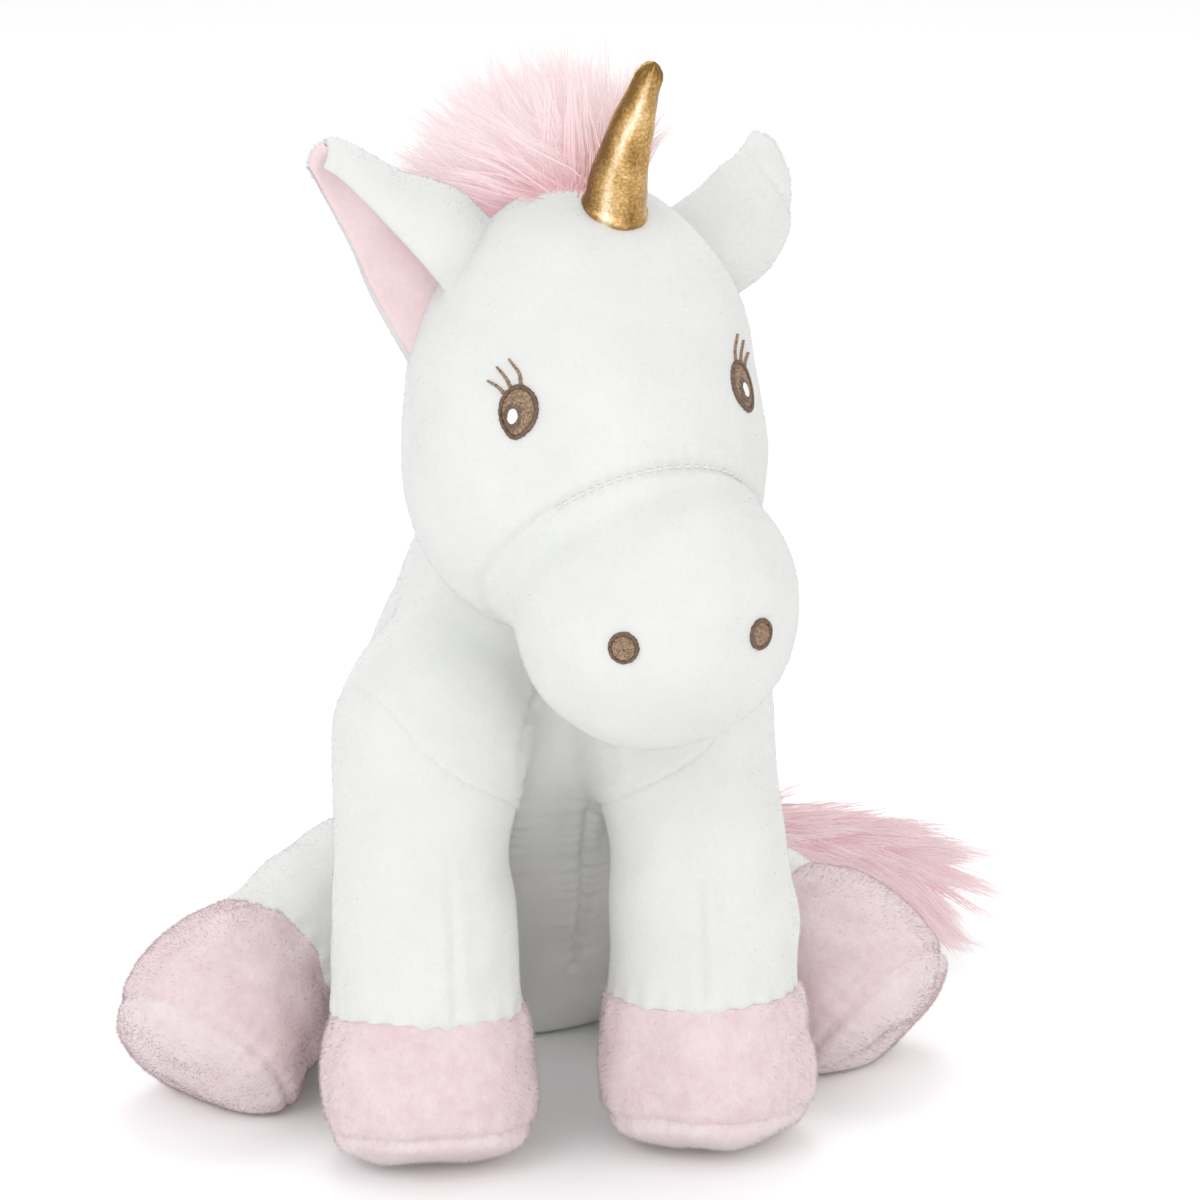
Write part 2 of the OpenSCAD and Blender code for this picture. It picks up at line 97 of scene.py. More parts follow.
def join(a, b, k):
    """Smooth union."""
    h = np.maximum(k - np.abs(a - b), 0) / k
    return np.minimum(a, b) - h * h * k / 4


def ball_mesh(level):
    bm = bmesh.new()
    bmesh.ops.create_icosphere(bm, subdivisions=level, radius=1)
    bm.verts.ensure_lookup_table()
    v = np.array([x.co for x in bm.verts])
    f = np.array([[x.index for x in face.verts] for face in bm.faces])
    bm.free()
    return unit(v), f


BALLS = {level: ball_mesh(level) for level in (5, 7)}


def leave(field, start, way, reach, steps):
    """Halves each line from start along way until it ends just inside the surface field = 0."""
    low, high = np.zeros(len(way)), np.full(len(way), float(reach))
    for _ in range(steps):
        mid = (low + high) / 2
        inside = field(start + way * mid[:, None]) < 0
        low, high = np.where(inside, mid, low), np.where(inside, high, mid)
    return start + way * low[:, None]


def shell(field, centre, reach, level=7):
    """Closed mesh of the surface field = 0, seen from a centre inside it."""
    d, f = BALLS[level]
    c = np.array(centre, float)
    return leave(field, c, d, reach, 24), f.copy()


def on_surface(field, start, way, reach=90):
    """Where straight lines from inside a form first leave it."""
    start, way = np.atleast_2d(start).astype(float), unit(np.atleast_2d(way).astype(float))
    return leave(field, start, way, reach, 26)


def slope(field, p, h=0.5):
    g = np.stack([field(p + e * h) - field(p - e * h) for e in np.eye(3)], 1)
    return unit(g)


def normals(v, f):
    t = v[f[:, :3]]
    n = np.cross(t[:, 1] - t[:, 0], t[:, 2] - t[:, 0])
    out = np.zeros_like(v)
    for k in range(f.shape[1]):
        np.add.at(out, f[:, k], n)
    return unit(out)


def to_line(p, line):
    """Distance from points to a polyline, and how far along it the nearest place is."""
    best = np.full(len(p), 1e9)
    along = np.zeros(len(p))
    run = 0.0
    for a, b in zip(line[:-1], line[1:]):
        ab = b - a
        size = np.linalg.norm(ab)
        t = np.clip((p - a) @ ab / max(size * size, 1e-9), 0, 1)
        d = np.linalg.norm(p - a - t[:, None] * ab, axis=1)
        better = d < best
        best = np.where(better, d, best)
        along = np.where(better, run + t * size, along)
        run += size
    return best, along


def lumps(p, size, seed):
    """Smooth noise, about -0.5 to 0.5, with waves of that size in millimetres."""
    off = Vector((seed * 7.13, seed * 3.7, seed * 1.9))
    return np.array([noise.noise(Vector(q) / size + off) for q in p])


PUCKER_STEP, PUCKER_REACH = 4.6, 7.0


def groove(v, n, line, width, depth, pucker, start=0.0):
    """Presses a seam into a surface, with a soft roll beside it and puckers across it."""
    d, along = to_line(v, line)
    roll = np.exp(-((d - 2.4 * width) / (1.5 * width)) ** 2)
    push = -depth * np.exp(-(d / width) ** 2) + 0.32 * depth * roll
    wave = np.sin(along * 2 * math.pi / PUCKER_STEP + np.sin(along * 0.31) * 2)
    push += pucker * wave * np.exp(-(d / PUCKER_REACH) ** 2) * (d > 0)
    if start:
        push = push * ease(0, start, along)
    return v + n * push[:, None]


def resample(line, step):
    line = np.asarray(line, float)
    cut = np.r_[0, np.cumsum(np.linalg.norm(np.diff(line, axis=0), axis=1))]
    n = max(int(cut[-1] / step), 2)
    at = np.linspace(0, cut[-1], n + 1)
    return np.stack([np.interp(at, cut, line[:, k]) for k in range(3)], 1)


def curve_through(points, n=24):
    """A smooth line through a few points."""
    p = np.asarray(points, float)
    p = np.vstack([2 * p[0] - p[1], p, 2 * p[-1] - p[-2]])
    out = []
    for i in range(1, len(p) - 2):
        t = np.linspace(0, 1, n, endpoint=False)[:, None]
        a, b, c, d = p[i - 1], p[i], p[i + 1], p[i + 2]
        out.append(b + 0.5 * t * (c - a + t * (2 * a - 5 * b + 4 * c - d + t * (3 * (b - c) + d - a))))
    return np.vstack(out + [p[-2][None]])


# ---- making objects

def make(name, v, f, material, body):
    """A mesh object from millimetre points and faces of one size."""
    me = bpy.data.meshes.new(name)
    v = np.asarray(v, float) * MM
    f = np.asarray(f, np.int64)
    n, k = f.shape
    me.vertices.add(len(v))
    me.vertices.foreach_set("co", v.ravel())
    me.loops.add(n * k)
    me.loops.foreach_set("vertex_index", f.ravel())
    me.polygons.add(n)
    me.polygons.foreach_set("loop_start", np.arange(n) * k)
    me.polygons.foreach_set("loop_total", np.full(n, k))
    me.polygons.foreach_set("use_smooth", np.full(n, True))
    me.update(calc_edges=True)
    me.validate()
    ob = bpy.data.objects.new(name, me)
    scene.collection.objects.link(ob)
    me.materials.append(material)
    if callable(body):
        body(ob)
    else:
        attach(ob, body)
    return ob


def set_tone(ob, values):
    """One number for each point, which the fibre and lame materials turn into colour."""
    data = ob.data.attributes.new("tone", "FLOAT", "POINT").data
    data.foreach_set("value", np.ravel(values).astype(np.float32))


def set_bake(ob, places):
    data = ob.data.uv_layers.new(name="OFBake").data
    data.foreach_set("uv", np.clip(places, 0, 1).ravel().astype(np.float32))


PILE_SINK = 0.3  # how deep a fibre starts under the skin
PILE = {"length": 1.0, "width": 0.17}  # white plush and ears
HAIR_WIDTH, HAIR_PARTS = 0.42, 5


def blades(name, v, f, n, count, length, width, lean, flow, material, body, slot,
           seed, keep, wild=0.35):
    """Pile: short fibres rooted on a surface, leaning with flow. They cast no shadow, so white stays clean."""
    rng = np.random.default_rng(seed)
    tri = f[:, :3] if f.shape[1] == 3 else np.vstack([f[:, [0, 1, 2]], f[:, [0, 2, 3]]])
    a, b, c = (v[tri[:, k]] for k in range(3))
    area = np.linalg.norm(np.cross(b - a, c - a), axis=1) / 2
    total = area.sum()
    count = int(count * total)
    pick = rng.choice(len(tri), count, p=area / total)
    s, t = rng.random(count), rng.random(count)
    over = s + t > 1
    s[over], t[over] = 1 - s[over], 1 - t[over]
    w = np.stack([1 - s - t, s, t], 1)
    root = (v[tri[pick]] * w[..., None]).sum(1)
    up = unit((n[tri[pick]] * w[..., None]).sum(1))
    stay = rng.random(count) < keep(root)
    root, up = root[stay], up[stay]
    count = len(root)
    way = flow(root) if callable(flow) else np.tile(np.array(flow, float), (count, 1))
    way = way - up * (way * up).sum(1)[:, None]
    away = rng.normal(size=(count, 3))
    away -= up * (away * up).sum(1)[:, None]
    d = unit(up * (1 - lean) + unit(way) * lean + unit(away) * wild * rng.random(count)[:, None])
    long = length * (0.7 + 0.5 * rng.random(count))[:, None]
    side = unit(np.cross(up, d) + 0.35 * rng.normal(size=(count, 3)))
    side = unit(side - d * (side * d).sum(1)[:, None])
    side *= np.where((np.cross(side, d) * up).sum(1) < 0, -1, 1)[:, None]
    half = width / 2 * (0.8 + 0.4 * rng.random(count))[:, None]
    start = root - up * PILE_SINK
    verts = np.stack([start - side * half, start + side * half, start + d * (long + PILE_SINK)], 1).reshape(-1, 3)
    faces = np.arange(count * 3).reshape(-1, 3)
    ob = make(name, verts, faces, material, body)
    # Each blade is darker at its root than at its tip: painted shade down in the pile, since the blades cast no
    # shadow. Blades also differ in tone at random.
    tone = np.zeros((count, 3))
    shade = rng.random(count)
    tone[:, 0] = tone[:, 1] = 0.25 + 0.3 * shade
    tone[:, 2] = 0.6 + 0.4 * shade
    set_tone(ob, tone)
    uv = np.repeat(shade, 3).reshape(-1, 3)
    places = np.stack([uv + [[0, 0.004, 0.002]], np.tile([0.02, 0.02, 0.98], (count, 1))], -1)
    set_bake(ob, places)
    ob.data.normals_split_custom_set_from_vertices(np.repeat(up, 3, axis=0).tolist())
    ob.visible_shadow = False
    ob.visible_diffuse = False


def hair(name, root, way, long, mat, body, seed, node, clump, spread, droop, deep, curl):
    """Long pile in locks: each grows from a root along its own way, and its tapered strands meet at its tip."""
    rng = np.random.default_rng(seed)
    locks, parts = len(root), HAIR_PARTS
    u = np.linspace(0, 1, parts + 1)
    way = unit(way)
    fall = np.array([0, 0, -1.0])
    bend = unit(rng.normal(size=(locks, 3))) * curl
    guide = (root[:, None] + way[:, None] * (long[:, None] * u)[..., None]
             + fall * (droop * long[:, None] * u ** 2)[..., None]
             + bend[:, None] * (np.sin(u * math.pi) + 0.6 * np.sin(u * 2 * math.pi))[None, :, None])
    lock = np.repeat(np.arange(locks), clump)
    n = len(lock)
    off = rng.normal(size=(n, 3)) * spread
    off -= way[lock] * (off * way[lock]).sum(1)[:, None]
    tip = 0.22 + 0.25 * rng.random(n)
    reach = 0.78 + 0.3 * rng.random(n)
    line = guide[lock][:, :1] + (guide[lock] - guide[lock][:, :1]) * reach[:, None, None]
    line = line + off[:, None] * (1 - (1 - tip)[:, None] * u ** 1.4)[..., None]
    line = line + rng.normal(size=(n, 1, 3)) * 0.25 * u[None, :, None] ** 2
    d = unit(np.gradient(line, axis=1))
    side = unit(np.cross(d, unit(rng.normal(size=(n, 1, 3)))))
    half = HAIR_WIDTH / 2 * (0.7 + 0.6 * rng.random(n))[:, None] * np.clip(1.02 - u ** 2.2, 0.06, 1)
    a, b = line - side * half[..., None], line + side * half[..., None]
    v = np.stack([a, b], 2).reshape(-1, 3)
    base = (np.arange(n) * 2 * (parts + 1))[:, None]
    k = 2 * np.arange(parts)[None]
    f = np.stack([base + k, base + k + 1, base + k + 3, base + k + 2], -1).reshape(-1, 4)
    if body == "tail":
        v[:, 2] = np.where(v[:, 2] < 0.4, 0.4 + 0.02 * v[:, 2], v[:, 2])
    ob = make(name, v, f, mat, body)
    shade = 0.5 * rng.random(locks)[lock] + 0.5 * rng.random(n)
    # Strands are darker at the root than at the tip: painted shade deep in the locks. Locks and strands also differ
    # in tone at random, and deep darkens the darker ones further.
    tone = np.clip(0.08 + 0.9 * u[None] ** 0.8 * (0.72 + 0.35 * shade[:, None]) - deep * (1 - shade[:, None]), 0, 1)
    set_tone(ob, np.repeat(tone.ravel(), 2))
    corner = np.array([0, 0, 1, 1])[None, None] + np.arange(parts)[None, :, None]
    places = np.stack([np.tile(shade[:, None, None], (1, parts, 4)) + np.array([0, 0.003, 0.003, 0]),
                       np.broadcast_to(0.02 + 0.96 * corner / parts, (n, parts, 4))], -1)
    set_bake(ob, places)
    ob.visible_diffuse = False
    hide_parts(node)


# ---- materials

def material(name):
    m = bpy.data.materials.new(name)
    m.use_nodes = True
    nodes, links = m.node_tree.nodes, m.node_tree.links
    shader = nodes["Principled BSDF"]
    return m, nodes, links, shader


def put(node, **values):
    for key, value in values.items():
        node.inputs[key.replace("_", " ")].default_value = value


def colour_by(nodes, links, shader, value, stops):
    """Base colour from a value through a ramp."""
    col = ramp(nodes, stops)
    links.new(value, col.inputs["Fac"])
    links.new(col.outputs["Color"], shader.inputs["Base Color"])


def bump_by(nodes, links, shader, height, strength, distance):
    b = nodes.new("ShaderNodeBump")
    put(b, Strength=strength, Distance=distance)
    links.new(height, b.inputs["Height"])
    links.new(b.outputs["Normal"], shader.inputs["Normal"])


def ramp(nodes, stops):
    r = nodes.new("ShaderNodeValToRGB")
    e = r.color_ramp.elements
    e[0].position, e[0].color = stops[0][0], (*stops[0][1], 1)
    e[1].position, e[1].color = stops[-1][0], (*stops[-1][1], 1)
    for at, colour in stops[1:-1]:
        e.new(at).color = (*colour, 1)
    return r


def math_node(nodes, operation):
    node = nodes.new("ShaderNodeMath")
    node.operation = operation
    return node


def noise_node(nodes, links, coords, scale, detail, rough=0.55):
    t = nodes.new("ShaderNodeTexNoise")
    put(t, Scale=scale, Detail=detail, Roughness=rough)
    links.new(coords, t.inputs["Vector"])
    return t


def plush(name, dark, light, pile=900.0, bump=0.35, broad=55.0):
    """Short pile: fine mottling where fibres part, with broad soft patches where the pile lies another way."""
    m, nodes, links, s = material(name)
    at = nodes.new("ShaderNodeTexCoord").outputs["Object"]
    fine = noise_node(nodes, links, at, pile, 4)
    wide = noise_node(nodes, links, at, broad, 2)
    mix = math_node(nodes, "MULTIPLY_ADD")
    links.new(wide.outputs["Fac"], mix.inputs[0])
    mix.inputs[1].default_value = 0.6
    scaled = math_node(nodes, "MULTIPLY")
    links.new(fine.outputs["Fac"], scaled.inputs[0])
    scaled.inputs[1].default_value = 0.4
    links.new(scaled.outputs[0], mix.inputs[2])
    colour_by(nodes, links, s, mix.outputs[0], [(0.36, dark), (0.62, light)])
    bump_by(nodes, links, s, fine.outputs["Fac"], bump, 0.0008)
    put(s, Roughness=0.9, Specular_IOR_Level=0.25, Sheen_Weight=0.25, Sheen_Roughness=0.5)
    return m


def fibre(name, root, tip, sheen=0.2, rough=0.8):
    """Single fibres, coloured from root to tip by each point's tone; the darker root colours are painted shade."""
    m, nodes, links, s = material(name)
    a = nodes.new("ShaderNodeAttribute")
    a.attribute_name = "tone"
    middle = lerp(np.array(root), np.array(tip), 0.7)
    colour_by(nodes, links, s, a.outputs["Fac"], [(0.2, root), (0.62, middle), (1.0, tip)])
    put(s, Roughness=rough, Specular_IOR_Level=0.2, Sheen_Weight=sheen, Sheen_Roughness=0.5)
    return m


def thread(name, dark, light, stripes=2600.0, rough=0.38, spec=0.5):
    """Satin stitch: fine shiny threads side by side."""
    m, nodes, links, s = material(name)
    at = nodes.new("ShaderNodeTexCoord").outputs["Object"]
    n = noise_node(nodes, links, at, stripes, 3, 0.6)
    colour_by(nodes, links, s, n.outputs["Fac"], [(0.3, dark), (0.7, light)])
    bump_by(nodes, links, s, n.outputs["Fac"], 0.4, 0.0002)
    put(s, Roughness=rough, Specular_IOR_Level=spec)
    return m


def lame(name):
    """Gold lame: fine metallic yarns, coloured from dark to near white by its tone, which holds painted highlights
    and painted shade along the folds.
    """
    m, nodes, links, s = material(name)
    at = nodes.new("ShaderNodeTexCoord").outputs["Object"]
    grain = noise_node(nodes, links, at, 1300, 2)
    tone = nodes.new("ShaderNodeAttribute")
    tone.attribute_name = "tone"
    speck = math_node(nodes, "MULTIPLY_ADD")
    links.new(grain.outputs["Fac"], speck.inputs[0])
    speck.inputs[1].default_value = 0.7
    speck.inputs[2].default_value = -0.35
    total = math_node(nodes, "ADD")
    links.new(speck.outputs[0], total.inputs[0])
    links.new(tone.outputs["Fac"], total.inputs[1])
    colour_by(nodes, links, s, total.outputs[0], [(0.1, (0.2, 0.11, 0.03)), (0.38, (0.47, 0.28, 0.1)),
                                                  (0.6, (0.72, 0.5, 0.25)), (0.95, (1.0, 0.92, 0.74))])
    put(s, Metallic=0.85, Roughness=0.36)
    bump_by(nodes, links, s, grain.outputs["Fac"], 0.35, 0.0004)
    return m


WHITE = plush("white_plush_skin", (0.635, 0.642, 0.63), (0.675, 0.68, 0.665), bump=0.14)
WHITE_PILE = fibre("white_plush_pile", (0.625, 0.632, 0.62), (0.695, 0.7, 0.685))
PINK = plush("pink_plush_skin", (0.63, 0.48, 0.5), (0.7, 0.58, 0.595), pile=420, bump=0.4, broad=110)
PINK_PILE = fibre("pink_plush_pile", (0.615, 0.455, 0.475), (0.745, 0.635, 0.65))
SOLE = plush("pink_sole_skin", (0.66, 0.535, 0.55), (0.72, 0.62, 0.635), pile=420, bump=0.4, broad=110)
SOLE_PILE = fibre("pink_sole_pile", (0.65, 0.515, 0.53), (0.755, 0.665, 0.68))
EAR_PINK = plush("pink_ear_lining", (0.69, 0.52, 0.54), (0.74, 0.6, 0.615), bump=0.2)
EAR_PILE = fibre("pink_ear_pile", (0.68, 0.52, 0.535), (0.76, 0.63, 0.64))
HAIR = fibre("long_pink_hair", (0.76, 0.44, 0.48), (0.9, 0.775, 0.79), sheen=0.1, rough=0.6)
HAIR_TAIL = fibre("long_pink_tail_hair", (0.72, 0.38, 0.42), (0.88, 0.72, 0.74), sheen=0.1, rough=0.6)
HAIR_BASE = plush("long_pink_base", (0.68, 0.38, 0.42), (0.78, 0.5, 0.54), pile=600, bump=0.8)
GOLD = lame("gold_lame_cloth")
BROWN = thread("brown_embroidery", (0.09, 0.05, 0.028), (0.44, 0.3, 0.18), stripes=1500)
BROWN_DARK = thread("dark_brown_embroidery", (0.06, 0.033, 0.02), (0.2, 0.12, 0.075), stripes=1500)
THREAD_WHITE = thread("white_thread", (0.7, 0.7, 0.7), (0.9, 0.9, 0.9))
STITCH = thread("seam_thread", (0.62, 0.63, 0.62), (0.74, 0.745, 0.735), rough=0.7, spec=0.2)
FIBRE = plush("polyester_fibre", (0.7, 0.7, 0.68), (0.85, 0.85, 0.83), pile=300, bump=1.0)
PELLET = plush("pellet_bag_cloth", (0.42, 0.34, 0.25), (0.55, 0.46, 0.36), pile=1500, bump=0.5)


# ---- the frame's own places

NECK = np.array([0, -80, 168.0])
HEAD = rot("z", 16.5) @ rot("x", 6)


def head_to_world(p):
    return NECK + np.asarray(p, float) @ HEAD.T


def world_to_head(p):
    return (np.asarray(p, float) - NECK) @ HEAD


SHOULDER = {s: np.array([s * 38, -102, 108.22]) for s in (RIGHT, LEFT)}
FRONT = rot("x", -10)
HIP = {s: np.array([s * 42, -21, 35.05]) for s in (RIGHT, LEFT)}
HIND = {s: rot("z", s * 45) @ rot("x", 8 - 90) for s in (RIGHT, LEFT)}


# ---- head

HEAD_CENTRE, TORSO_CENTRE = (0, -30, 22), (0, -38, 88)
MUZZLE_TURN = rot("x", -12).T


def head_field(p):
    """The head's form in head coordinates: skull, cheeks, bridge and muzzle."""
    skull = ell(p, (0.5, -18.5, 36.8), (47, 41.8, 60))
    cheek = ell(p, (0.5, -26.5, 19), (48.4, 33.4, 41), back=40.3)
    bridge = ell(p, (0.5, -38, 21.4), (36.4, 32, 36))
    muzzle = ell(p, (3, -60.8, -4.2), (37, 37, 37.8), MUZZLE_TURN)
    d = join(skull, cheek, 10)
    d = join(d, bridge, 12)
    return join(d, muzzle, 5)


SEAM_AT, SEAM_WAY = np.array([0, -69.0, 37.5]), np.array([0, 0.815, 0.58])


def soft_head(p):
    """How far hand stuffing lifts or sinks the head's surface."""
    return 1.0 * lumps(p, 30, 1) + 0.35 * lumps(p, 12, 2)

v, f = shell(head_field, HEAD_CENTRE, 120)
n = normals(v, f)
off = (v - SEAM_AT) @ SEAM_WAY
fade = 0.7 + 0.5 * ease(8, 24, v[:, 2])
v = v + n * (fade * (-0.9 * np.exp(-(off / 1.2) ** 2) + 0.45 * np.exp(-((np.abs(off) - 3.4) / 2.6) ** 2))
             + 0.14 * np.sin(v[:, 0] * 1.5) * np.exp(-(off / 3.5) ** 2))[:, None]
back = ease(4, 16, v[:, 1]) * (v[:, 2] < 90)
v = v + n * (-0.8 * np.exp(-((v[:, 0] - 0.5) / 1.3) ** 2) * back)[:, None]
v = v + n * soft_head(v)[:, None]
head_v, head_f = v, f
world = head_to_world(head_v)
head_n = normals(world, head_f)
head_skin = make("head_skin", world, head_f, WHITE, "head")
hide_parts("head_cover", "muzzle_cover")


# middles of the eyes and nostrils, near the head's surface
EYES = {RIGHT: (-32.8, -48.1, 48.7), LEFT: (30.6, -51.9, 50.2)}
NOSTRILS = {RIGHT: (-19.5, -88.2, -2.1), LEFT: (16.0, -96.8, -0.9)}


def to_head(p, steps):
    """Brings points near the head onto its surface."""
    for _ in range(steps):
        p = p - slope(head_field, p) * head_field(p)[:, None]
    return p


def face_to_head(place, x, z, lift):
    """Millimetres to the left and up on the face, about a place, to head coordinates."""
    x, z, lift = np.broadcast_arrays(x, z, lift)
    place = to_head(np.array([place], float), 6)
    g = slope(head_field, place)[0]
    across = unit(np.cross([0, 0, 1.0], g))
    up = np.cross(g, across)
    p = place + np.outer(x.ravel(), across) + np.outer(z.ravel(), up)
    p = to_head(p, 5)
    g = slope(head_field, p)
    p = p + g * (soft_head(p) + lift.ravel())[:, None]
    return p.reshape(*x.shape, 3)


def face_free(p):
    """Where on the head pile grows: not under the embroidery or the horn."""
    q = world_to_head(p)
    free = np.ones(len(q))
    for place, r in [(EYES[s], 6.3) for s in EYES] + [(NOSTRILS[s], 4.0) for s in NOSTRILS]:
        e = q - face_to_head(place, np.array([0.0]), np.array([0.0]), 0.0)[0]
        high = 1.3 if r > 5 else 1.0
        free[np.hypot(np.hypot(e[:, 0], e[:, 1]), e[:, 2] / high) < r] = 0
    free[(np.hypot(q[:, 0] - 2, q[:, 1] + 29) < 7.0) & (q[:, 2] > 60)] = 0
    return free


def head_flow(p):
    q = world_to_head(p)
    return np.stack([0.3 * q[:, 0] / 40, np.full(len(q), 0.6), np.full(len(q), -0.8)], 1) @ HEAD.T


blades("head_pile", world, head_f, head_n, 3.2, **PILE, lean=0.6, flow=head_flow, material=WHITE_PILE,
       body="head", slot="white_plush", seed=11, keep=face_free)
inner, inner_f = shell(lambda p: head_field(p) + 3.2, HEAD_CENTRE, 120, 5)
stuffing = make("head_stuffing_fill", head_to_world(inner), inner_f, FIBRE, "head")
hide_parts("head_stuffing")


# ---- embroidery

def grid_faces(rows, cols, closed=False):
    """Quads over a grid of points; closed joins the last row to the first."""
    k = np.arange(rows if closed else rows - 1)[:, None]
    i = np.arange(cols - 1)[None]
    a = k * cols + i
    b = ((k + 1) % rows) * cols + i
    return np.stack([a, a + 1, b + 1, b], -1).reshape(-1, 4)


def stitched(name, place, x, z, lift, mat, node=None, closed=False):
    """Embroidery as a raised grid of thread ridges, laid on the face."""
    p = head_to_world(face_to_head(place, x, z, lift).reshape(-1, 3))
    f = grid_faces(*x.shape, closed)
    t = p[f[:, :3]]
    facing = np.cross(t[:, 1] - t[:, 0], t[:, 2] - t[:, 0]).sum(0) @ (p.mean(0) - head_to_world([(0, -20, 20)])[0])
    if facing < 0:
        f = f[:, ::-1]
    ob = make(name, p, f, mat, "head")
    if node:
        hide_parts(node)


def oval(a, b, point=0.0):
    """Outline of an eye as a function of the angle: drawn to a soft point at its lower end."""
    def at(w):
        x, z = a * np.cos(w), b * np.sin(w)
        low = np.clip(-np.sin(w), 0, 1)
        return x * (1 - point * low ** 2 * 0.5), z * (1 + point * low ** 6)
    return at


def fill(name, place, outline, pitch, mat, node, seed, slant=0.0):
    """A field of short stitches inside an outline."""
    rng = np.random.default_rng(seed)
    w = np.linspace(0, 2 * math.pi, 161)
    r = np.linspace(0, 0.97, 56)
    ox, oz = outline(w)
    x, z = r[:, None] * ox, r[:, None] * oz
    across = x * math.cos(slant) + z * math.sin(slant)
    along = -x * math.sin(slant) + z * math.cos(slant)
    column = np.floor(across / pitch).astype(int)
    offset = rng.random(200)[column % 200]
    lift = 0.75 * (1 - r[:, None] ** 4) + 0 * x
    lift += 0.16 * np.abs(np.sin(np.pi * across / pitch)) + 0.1 * np.cos(2 * np.pi * (along / 1.7 + offset))
    stitched(name, place, x, z, lift, mat, node)


def rim(name, place, outline, half, pitch, mat, seed):
    """Satin stitches side by side across an outline."""
    rng = np.random.default_rng(seed)
    n = 720
    w = turns(n)
    ox, oz = outline(w)
    step = np.hypot(np.roll(ox, -1) - ox, np.roll(oz, -1) - oz)
    at = np.cumsum(step)
    nx, nz = np.roll(oz, -1) - np.roll(oz, 1), -(np.roll(ox, -1) - np.roll(ox, 1))
    size = np.hypot(nx, nz)
    nx, nz = nx / size, nz / size
    s = np.linspace(-1, 1, 9)
    which = np.floor(at / pitch).astype(int)
    reach = half * (0.85 + 0.4 * rng.random(which.max() + 1)[which])[:, None]
    x = ox[:, None] + nx[:, None] * s * reach
    z = oz[:, None] + nz[:, None] * s * reach
    ridge = 1.15 * np.sqrt(np.clip(1 - s ** 2, 0, 1))[None]
    lift = -0.25 + ridge + 0.14 * np.abs(np.sin(np.pi * at / pitch))[:, None]
    stitched(name, place, x, z, lift, mat, closed=True)


def stroke(name, place, points, half, pitch, mat, node=None):
    """One embroidered line, thickest at its start."""
    line = curve_through([(a, b, 0) for a, b in points], 40)[:, :2]
    d = np.gradient(line, axis=0)
    d /= np.linalg.norm(d, axis=1, keepdims=True)
    at = np.r_[0, np.cumsum(np.linalg.norm(np.diff(line, axis=0), axis=1))]
    s = np.linspace(-1, 1, 9)
    wide = half * (1 - 0.45 * at / at[-1])[:, None] * (1 + 0.12 * np.sin(at * 5.3))[:, None]
    x = line[:, :1] - d[:, 1:] * s * wide
    z = line[:, 1:] + d[:, :1] * s * wide
    lift = -0.25 + 0.95 * np.sqrt(np.clip(1 - s ** 2, 0, 1))[None] + 0.1 * np.sin(2 * np.pi * at / pitch)[:, None]
    stitched(name, place, x, z, lift, mat, node)


LASHES = [[(0.2, 6.6), (1.2, 9.6), (4.4, 12.6)],
          [(3.0, 5.7), (4.5, 7.8), (7.3, 10.1)],
          [(4.6, 3.9), (6.6, 5.3), (9.4, 6.3)]]
for s, who in NAME.items():
    eye = oval(4.8, 6.1, 0.12)
    fill(f"eye_fill_{who}", EYES[s], eye, 0.42, BROWN, f"eye_{who}", 61 + s, slant=0.5 * s)
    rim(f"eye_rim_{who}", EYES[s], eye, 0.65, 0.5, BROWN_DARK, 63 + s)
    hx, hz = (-1.0, -1.6) if s == RIGHT else (-0.6, -1.2)
    w = np.linspace(0, 2 * math.pi, 49)
    r = np.linspace(0, 1, 10)[:, None]
    for part, big, mat, node in (("pupil", 1.7, BROWN_DARK, None),
                                 ("highlight", 1.0, THREAD_WHITE, f"highlight_{who}")):
        glint = 1.45 * big * np.cos(w), 2.1 * big * np.sin(w)
        gx, gz = hx + r * glint[0], hz + r * glint[1]
        stitched(f"eye_{part}_{who}", EYES[s], gx, gz,
                 (0.85 if big > 1 else 1.05) + 0.35 * np.sqrt(1 - r ** 2) + 0.08 * np.sin(2 * np.pi * gx / 0.42), mat,
                 node)
    for k, lash in enumerate(LASHES):
        stroke(f"eyelash_{who}_{k + 1}", EYES[s], [(s * x, z) for x, z in lash], 0.62, 0.55, BROWN,
               f"lashes_{who}")
    hole = oval(3.4, 3.6)
    fill(f"nostril_fill_{who}", NOSTRILS[s], hole, 0.45, BROWN, f"nostril_{who}", 71 + s,
         slant=1.57)
    rim(f"nostril_rim_{who}", NOSTRILS[s], hole, 0.6, 0.5, BROWN_DARK, 73 + s)

# stitches that show along the top of the muzzle seam
STITCH_STEP, SEAM_CENTRE = 2.6, np.array([0, -30, 14.0])
strip_v, strip_f = [], []
for x0 in np.arange(-30, 30, STITCH_STEP):
    way = unit(np.array([[x0, -60.0, 30 + 8 * (1 - (x0 / 34) ** 2)]]) - SEAM_CENTRE)
    p = on_surface(head_field, [SEAM_CENTRE], way)
    for _ in range(6):
        p = p - SEAM_WAY * ((p - SEAM_AT) @ SEAM_WAY)[:, None] * 0.8
        p = on_surface(head_field, [SEAM_CENTRE], p - SEAM_CENTRE)
    g = slope(head_field, p)[0]
    c = p[0] + g * (soft_head(p)[0] - 0.55)
    along = unit(np.cross(g, SEAM_WAY))
    side = unit(np.cross(along, g))
    k = len(strip_v) * 14
    ring = []
    for u in np.linspace(-1, 1, 7):
        for q in (-1, 1):
            ring.append(c + along * u * 0.9 + side * q * 0.24 + g * (0.5 * (1 - u * u)))
    strip_v.append(ring)
    strip_f += [[k + 2 * i, k + 2 * i + 1, k + 2 * i + 3, k + 2 * i + 2] for i in range(6)]
make("muzzle_seam_stitches", head_to_world(np.array(strip_v).reshape(-1, 3)), strip_f, STITCH, "head")


# ---- horn

